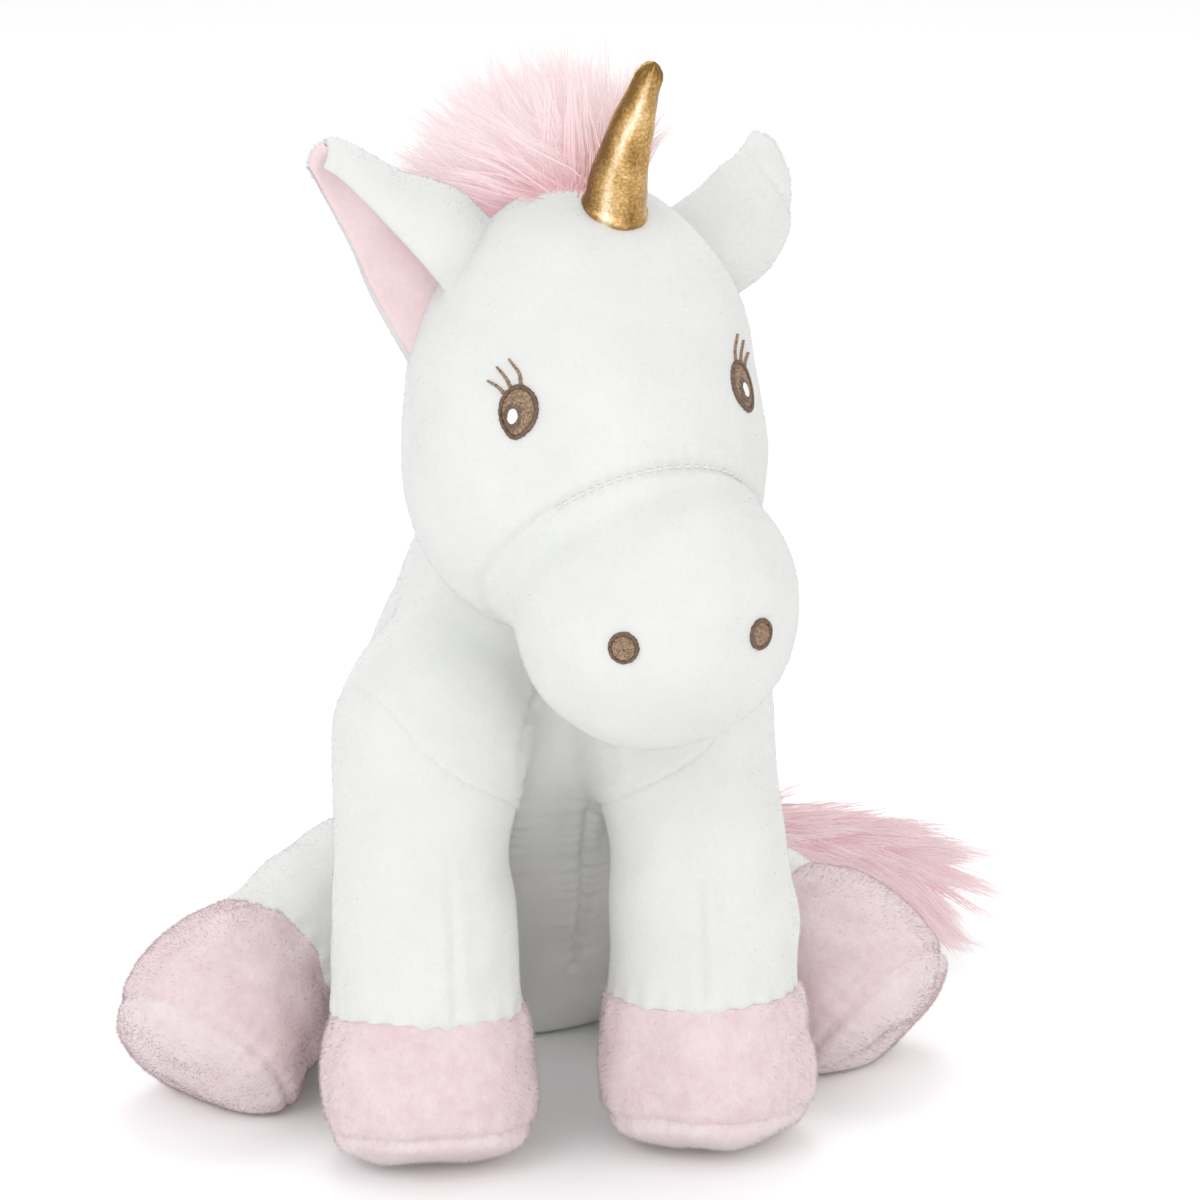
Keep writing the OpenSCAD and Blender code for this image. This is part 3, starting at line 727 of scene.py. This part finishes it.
HORN_LINE = curve_through([(2.4, -27, 76), (2.0, -29.0, 93), (2.3, -33.0, 110), (3.7, -37.5, 126),
                           (4.9, -41, 134.5)], 12)
HORN_RADII = ([0, 0.12, 0.3, 0.5, 0.7, 0.85, 0.94, 0.975, 1], [8.3, 8.4, 8.1, 7.1, 5.7, 4.3, 3.4, 2.5, 0.5])
HORN_AROUND = 120
# painted highlights (plus) and painted shade (minus) in the horn's colour, round it along its folds: strength, angle,
# width
HORN_PAINTED_LIGHT = [(0.5, 4.2, 0.2), (0.42, 5.0, 0.16), (0.4, 2.6, 0.22), (-0.3, 3.4, 0.3)]


def horn_mesh(inset=0.0, around=HORN_AROUND, folds=True):
    """A tube round the horn's line, drawn in at its tip, with a twist of soft folds."""
    line = resample(HORN_LINE, 0.6)
    n = len(line)
    u = np.linspace(0, 1, n)
    d = unit(np.gradient(line, axis=0))
    side = unit(np.cross(d, np.array([0, 1.0, 0.3])))
    face = unit(np.cross(side, d))
    w = turns(around)
    r = np.maximum(np.interp(u, *HORN_RADII) - inset, 0.4)
    v = []
    for k in range(n):
        rr = r[k] * np.ones(around)
        if folds:
            rr = rr * (1 + 0.035 * np.sin(3 * w + 2.2 * u[k]) * (0.3 + u[k]) + 0.012 * np.sin(7 * w - 5 * u[k]))
            rr = rr + 0.32 * np.sin(11 * w + 1.5 * np.sin(3 * w)) * ease(0.86, 0.97, u[k]) * (r[k] / 3.5)
        v.append(line[k] + side[k] * (rr * np.cos(w))[:, None] + face[k] * (rr * np.sin(w))[:, None])
    v = np.vstack(v + [line[:1], line[-1:] + d[-1:] * 0.3])
    f = []
    i = np.arange(around)
    j = (i + 1) % around
    for k in range(n - 1):
        p = k * around
        f.append(np.stack([p + i, p + j, p + around + j], 1))
        f.append(np.stack([p + i, p + around + j, p + around + i], 1))
    f.append(np.stack([np.full(around, len(v) - 2), j, i], 1))
    last = (n - 1) * around
    f.append(np.stack([np.full(around, len(v) - 1), last + i, last + j], 1))
    return v, np.vstack(f)


v, f = horn_mesh()
n = normals(v, f)
v = v + n * (0.5 * lumps(v * [1, 1, 0.5], 7, 31) + 0.12 * lumps(v, 3.2, 32))[:, None]
gap_to_head = head_field(v)
v = v + n * (-0.7 * np.exp(-((gap_to_head - 0.6) / 0.9) ** 2))[:, None]
horn = make("horn_skin", head_to_world(v), f, GOLD, "head")
ring = turns(HORN_AROUND)
# Painted highlights and painted shade as stripes along the horn's folds, kept in its tone; a little darker towards
# the tip.
horn_painted_light = []
for u in np.linspace(0, 1, (len(v) - 2) // HORN_AROUND):
    at = ring + 0.5 * u + 0.12 * math.sin(9 * u)
    row = 0.36
    for gain, angle, wide in HORN_PAINTED_LIGHT:
        row = row + gain * np.exp(-((np.mod(at - angle, 2 * math.pi) - math.pi) / wide) ** 2)
    horn_painted_light.append(row - 0.3 * ease(0.9, 0.99, u))
horn_painted_light = np.r_[np.concatenate(horn_painted_light), 0.2, 0.1] + 0.22 * lumps(v * [1, 1, 0.35], 3.0, 33)
set_tone(horn, np.clip(horn_painted_light, 0, 1))
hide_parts("horn_cover")
v, f = horn_mesh(1.2, 24, False)
filling = make("horn_filling", head_to_world(v), f, FIBRE, "head")
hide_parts("horn_stuffing")


# ---- ears

# Lines from root to tip, in head coordinates: the front flap's edge, the fold on top, the back's edge
EAR = {
    RIGHT: ([(-36, -14, 68), (-45, -13, 79), (-54, -8, 89.5), (-62, -1.5, 98.5), (-66.0, 2.5, 101.5)],
            [(-21, -5, 85), (-33, -4, 94.5), (-46, -2, 98.5), (-58, 2, 105.5), (-65.0, 4.2, 107.8)],
            [(-41, -8, 43), (-51, 2, 64), (-57.0, 5, 79), (-64.5, 6, 93), (-69.2, 5, 101.0)]),
    LEFT: ([(38, -14, 57), (57, -12, 66), (65.5, -7, 75), (68, -2, 87), (65, 3, 96.5)],
           [(20, -7, 79), (38, -4, 87.5), (51.5, -1, 95), (58, 2.5, 98.5), (61.5, 4.5, 99.5)],
           [(39, -10, 42), (57, 0, 59), (67.5, 4, 72), (70.5, 4, 85), (66.5, 5, 96)]),
}


def on_ear():
    """An ear is sewn to the head at its root; its pieces keep their world placing, baked into the mesh."""
    return lambda ob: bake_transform(ob)


def bezier(a, b, c, t):
    """Points on the arc from a to c that b pulls towards itself."""
    t = t[:, None]
    return a * (1 - t) ** 2 + 2 * b * t * (1 - t) + c * t ** 2


for s, who in NAME.items():
    front, top, rear = (np.stack([np.interp(np.linspace(0, 1, 61), np.linspace(0, 1, 81), part)
                                  for part in curve_through(line, 20).T], 1) for line in EAR[s])
    rows = []
    t = np.linspace(0, 1, 26)
    for k in range(61):
        u = k / 60
        puff, hollow = 6.5 * (1 - u) + 2.0, 5.5 * (1 - u) + 1.5
        q1 = (front[k] + top[k]) / 2 + np.array([-s * 1.0, -puff, 1.5])
        q2 = (rear[k] + top[k]) / 2 + np.array([s * 1.5, hollow * 0.6, 2.5])
        a = bezier(front[k], q1, top[k], t)
        b = bezier(top[k], q2, rear[k], t)
        rows.append(np.vstack([a, b[1:]]))
    mid = np.array(rows)
    for _ in range(5):
        mid[:, 1:-1] = (mid[:, :-2] + 2 * mid[:, 1:-1] + mid[:, 2:]) / 4
    for _ in range(2):
        mid[1:-1] = (mid[:-2] + 2 * mid[1:-1] + mid[2:]) / 4
    nu, nv = mid.shape[:2]
    du, dv = np.gradient(mid, axis=0), np.gradient(mid, axis=1)
    out = unit(np.cross(du, dv)) * s
    if (out[20, 12] @ np.array([0, -1, 0])) < 0:
        out = -out
    vv = np.linspace(-1, 1, nv)
    edge = np.sqrt(np.clip(1 - np.abs(vv) ** 10, 0, 1))[None, :, None] * np.sqrt(
        np.clip(1 - np.linspace(0, 1, nu) ** 24, 0, 1))[:, None, None]
    soft = 0.7 * lumps(mid.reshape(-1, 3), 9, 40 + s).reshape(nu, nv, 1)
    if s == LEFT:
        fold = np.exp(-((np.arange(nu)[:, None] - 36) / 1.6) ** 2) * ease(30, 14, np.arange(nv)[None]) * 0.7
        soft = soft - fold[..., None]
    for part, low, high, mat, pile, slot in (("outer", 0.05, 2.1, WHITE, WHITE_PILE, "white_plush"),
                                             ("inner", -1.9, 0.0, EAR_PINK, EAR_PILE, "pink_plush")):
        span = slice(0, nv) if part == "outer" else slice(1, nv - 1)
        a, b = ((mid + out * (soft + h * edge))[:, span] for h in (low, high))
        cols = a.shape[1]
        one = nu * cols  # points on one face of the cloth
        sheet_v = np.vstack([a.reshape(-1, 3), b.reshape(-1, 3)])
        g = grid_faces(nu, cols)
        rim_f = []
        for k in range(nu - 1):
            for c in (0, cols - 1):
                here, there = k * cols + c, (k + 1) * cols + c
                rim_f.append([here, there, one + there, one + here])
        for k in range(cols - 1):
            for row in (0, nu - 1):
                here = row * cols + k
                rim_f.append([here, here + 1, one + here + 1, one + here])
        quads = np.vstack([g, g[:, ::-1] + one, np.array(rim_f)])
        world_v = head_to_world(sheet_v)
        ob = make(f"ear_{who}_{part}_cloth", world_v, quads, mat, on_ear())
        bm = bmesh.new()
        bm.from_mesh(ob.data)
        bmesh.ops.recalc_face_normals(bm, faces=bm.faces)
        bm.to_mesh(ob.data)
        bm.free()
        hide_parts(f"ear_{who}_{part}")
        face = (g[:, ::-1] + one) if part == "outer" else g
        facing = (out[:, span] * (1 if part == "outer" else -1)).reshape(-1, 3) @ HEAD.T
        face_n = np.vstack([facing, facing])
        blades(f"ear_{who}_{part}_pile", world_v, face, face_n, 3.2, **PILE, lean=0.5,
               flow=tuple(HEAD @ np.array([s, 0, 0.6])), material=pile, body=on_ear(), slot=slot,
               seed=50 + s + (part == "inner") * 2,
               keep=lambda p: (head_field(world_to_head(p)) > 0.5).astype(float))


# ---- mane

MANE_LOCKS, TAIL_LOCKS = 1000, 900  # the mane keeps those that fall inside its oval
rng = np.random.default_rng(91)
count = MANE_LOCKS
across, along = rng.uniform(-1, 1, count), rng.uniform(-1, 1, count)
keep = across ** 2 + along ** 2 < 1
across, along = across[keep], along[keep]
start = np.stack([1 + 13 * across, 10 + 30 * along, np.full(len(across), 60.0)], 1)
root = on_surface(head_field, [(0, -12, 40)] * len(start), start + np.array([0, 0, 30.0]) - np.array([0, -12, 40.0]))
up = slope(head_field, root)
fan = rng.beta(1.1, 1.2, len(root)) * math.radians(122) - math.radians(44)
fan = fan - 0.3 * across
pull = np.stack([-0.9 * np.sin(fan), 0.44 * np.sin(fan), np.cos(fan)], 1)
rear = ease(0.25, 0.9, along)[:, None]
way = unit(pull * (1 - 0.6 * rear) + 0.35 * up + rear * np.array([0, 0.9, -0.3])
           + rng.normal(size=up.shape) * [0.1, 0.22, 0.06])
long = (33 + 13 * rng.random(len(root))) * (1 - 0.3 * (along > 0.5))
long = long * np.interp(fan, [-0.8, -0.2, 0.3, 1.4], [0.6, 0.92, 1.04, 0.98])
hair("mane_hair", head_to_world(root - up * 1.5), way @ HEAD.T, long, HAIR, "head", 92, "mane_pile",
     clump=24, spread=1.7, droop=0.12, deep=0.1, curl=2.0)


# ---- torso

def torso_field(p):
    """The torso's form: seat, belly, chest, neck and shoulders."""
    seat = ell(p, (0, -4, 30), (55, 45, 40))
    belly = ell(p, (0, -26, 72), (52, 46, 46), rot("x", 20))
    chest = ell(p, (0, -54, 112), (47, 41, 48), rot("x", 25))
    neck = ell(p, (0, -76, 150), (36, 32, 32))
    d = join(seat, belly, 20)
    d = join(d, chest, 20)
    d = join(d, neck, 16)
    q = p.copy(); q[:, 0] = np.abs(q[:, 0])
    shoulder = ell(q, (30.5, -96, 117), (24, 26, 31))
    return join(d, shoulder, 12)


def leg_radius(t):
    """Radius of a front leg above its hoof: narrower where it joins the shoulder."""
    return np.interp(t, [-30, -10, 6, 22, 40, 70], [18.5, 19.0, 20.8, 23.4, 25.2, 25.6])


def leg_field(p, s):
    """The upper part of a front leg, as a rounded rod from above its joint down."""
    q = (p - SHOULDER[s]) @ FRONT
    t = np.clip(-q[:, 2], -6, 70)
    return np.linalg.norm(q + np.stack([0 * t, 0 * t, t], 1), axis=1) - leg_radius(t)


def soft_torso(p):
    """How far hand stuffing lifts or sinks the torso's surface."""
    return 2.0 * lumps(p, 38, 3) + 0.6 * lumps(p, 14, 4)


def fillet(v, mine, other, k):
    """Moves a form's surface out onto its smooth union with another; what lies inside the other sinks a little."""
    d = other(v)
    near = np.flatnonzero((d < k) & (d > -0.4 * k))
    p = v[near]

    def both(q):
        return join(mine(q), other(q), k)

    for _ in range(4):
        p = p - slope(both, p) * np.clip(both(p), -2.5, 2.5)[:, None]
    sink = ease(0.0, -0.4 * k, d[near])[:, None]
    v = v.copy()
    v[near] = lerp(p - slope(mine, p) * 0.5 * (d[near] < 0)[:, None], v[near], sink)
    return v


def flat_floor(v, lift=0.3):
    """Rests a shape on the floor: what would hang below it spreads flat."""
    soft = 3.0
    z = v[:, 2] - lift
    v = v.copy()
    v[:, 2] = lift + np.where(z > soft, z, np.where(z < -soft, 0, (z + soft) ** 2 / (4 * soft)))
    return v


v, f = shell(torso_field, TORSO_CENTRE, 160)
for s in (RIGHT, LEFT):
    v = fillet(v, torso_field, lambda p: leg_field(p, s), 16)
n = normals(v, f)


def torso_line(points):
    """A line on the torso through a few places, each given as a point near its surface."""
    p = curve_through(points)
    c = np.array(TORSO_CENTRE, float)
    return on_surface(torso_field, np.tile(c, (len(p), 1)), p - c, 160)


GUSSET = {s: torso_line([(s * 3, -110, 138), (s * 12, -108, 112), (s * 16, -100, 80), (s * 17, -80, 45),
                         (s * 17, -55, 8)]) for s in (RIGHT, LEFT)}
BACK_SEAM = torso_line([(0, -30, 190), (0, 10, 140), (0, 40, 100), (0, 50, 60), (0, 50, 10)])
for line in (*GUSSET.values(), BACK_SEAM):
    v = groove(v, n, resample(line, 3), 1.3, 1.4, 0.25)
v = v + n * soft_torso(v)[:, None]
v = flat_floor(v)
torso_v, torso_f, torso_n = v, f, normals(v, f)


def on_torso(ob):
    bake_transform(ob)


torso_skin = make("torso_skin", v, f, WHITE, on_torso)
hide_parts("torso_cover", "belly_panel", "seat_panel", "neck_cover")


def seen_torso(p):
    """Pile only where it can show: not inside the head, nor under the seat."""
    return ((head_field(world_to_head(p)) > -3) & (p[:, 2] > 1)).astype(float)


blades("torso_pile", torso_v, torso_f, torso_n, 2.8, **PILE, lean=0.6, flow=(0, 0.25, -1),
       material=WHITE_PILE, body=on_torso, slot="white_plush", seed=12, keep=seen_torso)
inner, inner_f = shell(lambda p: torso_field(p) + 3.6, TORSO_CENTRE, 160, 5)
stuffing = make("torso_stuffing_fill", flat_floor(inner, 3.0), inner_f, FIBRE, on_torso)
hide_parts("torso_stuffing", "neck_stuffing")


# ---- legs

def tube(profile, around=112):
    """A turned shape down -Z: profile is (distance down, radius) rows, from pole to pole."""
    a = turns(around)
    rows = [np.stack([r * np.cos(a), r * np.sin(a), np.full(around, -t)], 1) for t, r in profile[1:-1]]
    v = np.vstack([[[0, 0, -profile[0][0]]], *rows, [[0, 0, -profile[-1][0]]]])
    m = len(rows)
    f = []
    i = np.arange(around)
    j = (i + 1) % around
    for k in range(m - 1):
        p = 1 + k * around
        f.append(np.stack([p + i, p + around + i, p + j], 1))
        f.append(np.stack([p + j, p + around + i, p + around + j], 1))
    f.append(np.stack([np.zeros(around, int), 1 + i, 1 + j], 1))
    last = 1 + (m - 1) * around
    f.append(np.stack([np.full(around, len(v) - 1), last + j, last + i], 1))
    return v, np.vstack(f)


def arc_rows(r, a, b, n):
    """Profile rows round part of a circle, from angle a to b above the level (90 is the pole)."""
    return [(-r * math.sin(math.radians(w)), max(r * math.cos(math.radians(w)), 0.001))
            for w in np.linspace(a, b, n)]


def leg_shape(top, ankle, length):
    """White part of a leg: a ball at the joint, then a stuffed tube that ends inside the hoof."""
    if top < 25:
        ball = leg_radius(-6)
        rows = [(ball + t - ball - 6, r) for t, r in arc_rows(ball, 90, 4, 26)]
        rows += [(t, float(leg_radius(t))) for t in np.linspace(-4, length, 60)]
    else:
        rows = arc_rows(top, 90, 6, 26)
        for t in np.linspace(4, length, 56):
            u = t / length
            rows.append((t, top + (ankle - top) * u + 0.9 * math.sin(math.pi * u)))
    rows += [(length + 2 * k, (ankle - 0.8) * math.sqrt(max(1 - (k / 6) ** 2, 0)) + 0.001) for k in range(1, 7)]
    return rows


def hoof_shape(ankle, hoof, start, tall, sole):
    """Pink hoof: gathered onto the ankle, full in the middle, and drawn in again at the sole seam."""
    rows = [(start - 1.0, 0.001), (start - 0.8, ankle * 0.5), (start - 0.5, ankle * 0.9), (start - 0.2, ankle - 0.5)]
    wide = hoof - ankle
    for u in np.linspace(0.0, 1, 40):
        grow = np.interp(u, [0, 0.08, 0.25, 0.5, 0.72, 0.88, 1], [0.05, 0.3, 0.72, 1.04, 1.14, 1.0, 0.62])
        rows.append((start + u * tall, ankle + 0.3 + wide * grow - 0.5 * math.exp(-((u - 1) / 0.04) ** 2)))
    edge = rows[-1][1]
    for w in np.linspace(4, 90, 26):
        a = math.radians(w)
        rows.append((start + tall + (sole + 1) * math.sin(a), max((edge - 0.1) * math.cos(a) ** 0.8, 0.001)))
    return rows


def limb_name(side, front):
    return f"{'front' if front else 'hind'}_{NAME[side]}"


def leg_frame(side, front):
    return (SHOULDER[side], FRONT) if front else (HIP[side], HIND[side])


def place_leg(v, side, front):
    joint, turn = leg_frame(side, front)
    return joint + v @ turn.T


def on_leg():
    """White leg cloth and stuffing, which run from the torso to the leg across the joint, keep their world placing,
    baked into the mesh.
    """
    return lambda ob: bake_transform(ob)


for front in (True, False):
    for side in (RIGHT, LEFT):
        limb = limb_name(side, front)
        body = limb + "_leg"
        seed = (1 if front else 2) * 10 + (side > 0) * 3
        top, ankle, hoof, length = (24.5, 25.2, 28.2, 108) if front else (30.0, 25.2, 27.4, 88)
        hoof_at, tall, sole = length - 40, 31, 9
        # white leg
        v, f = tube(leg_shape(top, ankle, hoof_at))
        n = normals(v, f)
        seam_at = 100 if front else 60
        first = math.radians(-seam_at if side > 0 else -180 + seam_at)
        for a in (first, first + math.pi):
            seam = [[math.cos(a) * 25.5, math.sin(a) * 25.5, -t] for t in range(-14, hoof_at + 1, 4)]
            v = groove(v, n, np.array(seam, float), 1.2, 0.9, 0.12, start=34)
        bumps = 1.6 * lumps(v, 24, seed) + 0.6 * lumps(v, 10, seed + 1)
        gather = np.exp(-((-v[:, 2] - hoof_at) / 4.0) ** 2)
        v = v + n * (0.35 * gather * np.sin(np.arctan2(v[:, 1], v[:, 0]) * 23 + seed))[:, None]
        v = place_leg(v, side, front)
        if front:
            v = fillet(v, lambda p: leg_field(p, side), torso_field, 16)
            n = normals(v, f)
            w = ease(30, 6, torso_field(v))
            bumps = w * soft_torso(v) + (1 - w) * bumps
        else:
            n = normals(v, f)
        v = flat_floor(v + n * bumps[:, None])
        n = normals(v, f)
        skin = make(f"{body}_skin", v, f, WHITE, on_leg())
        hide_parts(f"{body}_cover")
        joint, turn = leg_frame(side, front)
        axis = turn @ np.array([0, 0, -1.0])

        def seen(p, joint=joint, axis=axis, top=hoof_at):
            along = (p - joint) @ axis
            return ((torso_field(p) > -2.5) & (along < top + 1) & (p[:, 2] > 0.8)).astype(float)

        blades(f"{body}_pile", v, f, n, 3.0, **PILE, lean=0.6,
               flow=(0, 0, -1) if front else tuple(axis + [0, 0, -0.6]), material=WHITE_PILE,
               body=on_leg(), slot="white_plush", seed=20 + seed, keep=seen)
        rows = [(t, max(r - 2.6, 0.001)) for t, r in leg_shape(top, ankle, length - (14 if front else 27))]
        rows = [(max(t, rows[0][0] + 2.6), r) for t, r in rows]
        inner, inner_f = tube([(-top + 2.6, 0.001)] + [q for q in rows if q[0] > -top + 3.2], 32)
        stuffing = make(f"{body}_stuffing_fill", flat_floor(place_leg(inner, side, front), 3.0), inner_f, FIBRE,
                        on_leg())
        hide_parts(f"{body}_stuffing")
        # pink hoof
        rows = hoof_shape(ankle, hoof, hoof_at, tall, sole)
        v, f = tube(rows, 120)
        n = normals(v, f)
        down = -v[:, 2]
        line = np.array([[math.cos(w) * (ankle + 0.3), math.sin(w) * (ankle + 0.3), -hoof_at - tall]
                         for w in np.linspace(0, 2 * math.pi, 61)])
        v = groove(v, n, line, 1.3, 1.0, 0.25)
        v = v + n * (2.4 * lumps(v, 22, seed + 2) + 0.7 * lumps(v, 9, seed + 3))[:, None]
        gather = np.exp(-((-v[:, 2] - hoof_at - 2) / 5.0) ** 2)
        wave = np.arctan2(v[:, 1], v[:, 0]) * 17 + 3 * np.sin(v[:, 0] * 0.2) + seed
        v = v + n * (0.3 * gather * np.sin(wave))[:, None]
        if not front:
            tip = np.radians(30) * ease(hoof_at + 2, hoof_at + tall, down)
            y, z = v[:, 1].copy(), v[:, 2] + hoof_at + 14
            v[:, 1] = y * np.cos(tip) - z * np.sin(tip) - 2 * tip
            v[:, 2] = y * np.sin(tip) + z * np.cos(tip) - hoof_at - 14
        v = flat_floor(place_leg(v, side, front))
        n = normals(v, f)
        parts = {"hoof": down[f].mean(1) < hoof_at + tall, "sole": down[f].mean(1) >= hoof_at + tall}
        for part, mine in parts.items():
            skin = make(f"{limb}_{part}_skin", v, f[mine], PINK if part == "hoof" else SOLE, body)
            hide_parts(f"{limb}_hoof_cover" if part == "hoof" else f"{limb}_sole")
            blades(f"{limb}_{part}_pile", v, f[mine], n, 5.0, 1.4, 0.18, 0.55,
                   tuple(axis), PINK_PILE if part == "hoof" else SOLE_PILE, body, "pink_plush",
                   seed=40 + seed + (part == "sole"), keep=lambda p: (p[:, 2] > 0.7).astype(float), wild=0.45)


# ---- tail

TAIL = curve_through([(7.9, 47.2, 18.0), (34.8, 55.5, 20.0), (71.1, 54.0, 22.0), (107.4, 40.8, 23.0),
                      (139.0, 18.7, 22.0), (154.8, 4.5, 20.0)], 16)
cut = resample(TAIL[:int(len(TAIL) * 0.72)], 2)
core_r = np.interp(np.linspace(0, 1, len(cut)), [0, 0.1, 0.5, 0.85, 1], [2.2, 5.0, 7.0, 5.0, 1.0])
d = unit(np.gradient(cut, axis=0))
side = unit(np.cross(d, [0, 0, 1.0]))
over = np.cross(side, d)
w = turns(24)
ring = side[:, None] * np.cos(w)[None, :, None] + over[:, None] * np.sin(w)[None, :, None]
v = (cut[:, None] + ring * core_r[:, None, None]).reshape(-1, 3)
v[:, 2] = np.maximum(v[:, 2], 0.6)
i = np.arange(24)
j = (i + 1) % 24
f = np.vstack([np.stack([k + i, k + j, k + 24 + j, k + 24 + i], 1) for k in range(0, 24 * (len(cut) - 1), 24)])
make("tail_backing", v, f, HAIR_BASE, "tail")
rng = np.random.default_rng(93)
count = TAIL_LOCKS
at = rng.random(count) ** 0.8 * 0.99
spin = rng.random(count) * 2 * math.pi
idx = (at * (len(cut) - 1)).astype(int)
out = side[idx] * np.cos(spin)[:, None] + over[idx] * np.sin(spin)[:, None]
root = cut[idx] + out * core_r[idx][:, None] * 0.7
open_ = np.interp(at, [0, 0.3, 1], [0.6, 0.66, 0.5])
way = unit(d[np.minimum(idx + 6, len(cut) - 1)] + out * open_[:, None] + rng.normal(size=out.shape) * 0.07)
way[:, 2] = np.where((root[:, 2] < 14) & (way[:, 2] < 0), way[:, 2] * 0.3, way[:, 2])
long = (30 + 12 * rng.random(count)) * np.interp(at, [0, 1], [1, 0.92])
hair("tail_hair", root, unit(way), long, HAIR_TAIL, "tail", 94, "tail_pile",
     clump=22, spread=1.7, droop=0.22, deep=0.2, curl=1.8)


# ---- materials on carried-over pieces

carried = {"torso_stuffing": FIBRE, "pellet_bag": PELLET, "closing_stitch": STITCH, "neck_stuffing": FIBRE,
           "head_stuffing": FIBRE, "horn_stuffing": FIBRE, "mane_backing": HAIR_BASE, "tail_root": HAIR_BASE}
for side in NAME.values():
    carried |= {f"eye_{side}": BROWN, f"highlight_{side}": THREAD_WHITE, f"lashes_{side}": BROWN,
                f"nostril_{side}": BROWN, f"ear_{side}_outer": WHITE, f"ear_{side}_inner": EAR_PINK,
                f"front_{side}_leg_stuffing": FIBRE, f"hind_{side}_leg_stuffing": FIBRE}
for node, mat in carried.items():
    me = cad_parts[node].data
    me.materials.clear()
    me.materials.append(mat)


# ---- floor, light and camera

me = bpy.data.meshes.new("floor")
me.from_pydata([(-8, -8, 0), (8, -8, 0), (8, 8, 0), (-8, 8, 0)], [], [(0, 1, 2, 3)])
floor = bpy.data.objects.new("floor", me)
scene.collection.objects.link(floor)
m, nodes, links, s = material("floor_paper")
put(s, Base_Color=(0.93, 0.93, 0.93, 1), Roughness=0.9, Specular_IOR_Level=0.1)
me.materials.append(m)

world_light = bpy.data.worlds.new("studio")
scene.world = world_light
world_light.use_nodes = True
put(world_light.node_tree.nodes["Background"], Color=(0.995, 0.998, 1, 1), Strength=1.0)


def lamp(name, at, target, size, power, colour=(1, 1, 1)):
    data = bpy.data.lights.new(name, "AREA")
    data.shape = "DISK"
    data.size = size
    data.energy = power
    data.color = colour
    ob = bpy.data.objects.new(name, data)
    ob.location = at
    ob.rotation_euler = (Vector(target) - Vector(at)).to_track_quat("-Z", "Y").to_euler()
    scene.collection.objects.link(ob)


lamp("key", (-1.1, -1.2, 1.3), (0, -0.08, 0.12), 1.0, 6.5, (0.97, 0.985, 1))
lamp("fill", (1.3, -0.9, 0.9), (0, -0.08, 0.12), 1.0, 2.5, (1, 0.985, 0.96))
lamp("low", (-0.25, -1.6, 0.22), (0, -0.08, 0.1), 0.7, 4.0)
lamp("top", (0.1, 0.9, 1.5), (0, 0, 0.15), 1.0, 6)

cam_data = bpy.data.cameras.new("camera")
cam = bpy.data.objects.new("camera", cam_data)
scene.collection.objects.link(cam)
scene.camera = cam
az, el, far = math.radians(-10), math.radians(16), 1.2
back_way = Vector((math.sin(az) * math.cos(el), -math.cos(az) * math.cos(el), math.sin(el)))
target = Vector((0.014, -0.088, 0.140))
cam.location = target + back_way * far
cam.rotation_euler = back_way.to_track_quat("Z", "Y").to_euler()
cam_data.sensor_width = 36
cam_data.lens = 133.2
cam_data.shift_y = 20 / 1200
cam_data.clip_start = 0.05
cam_data.clip_end = 50

scene.view_settings.view_transform = "Standard"
scene.view_settings.look = "None"
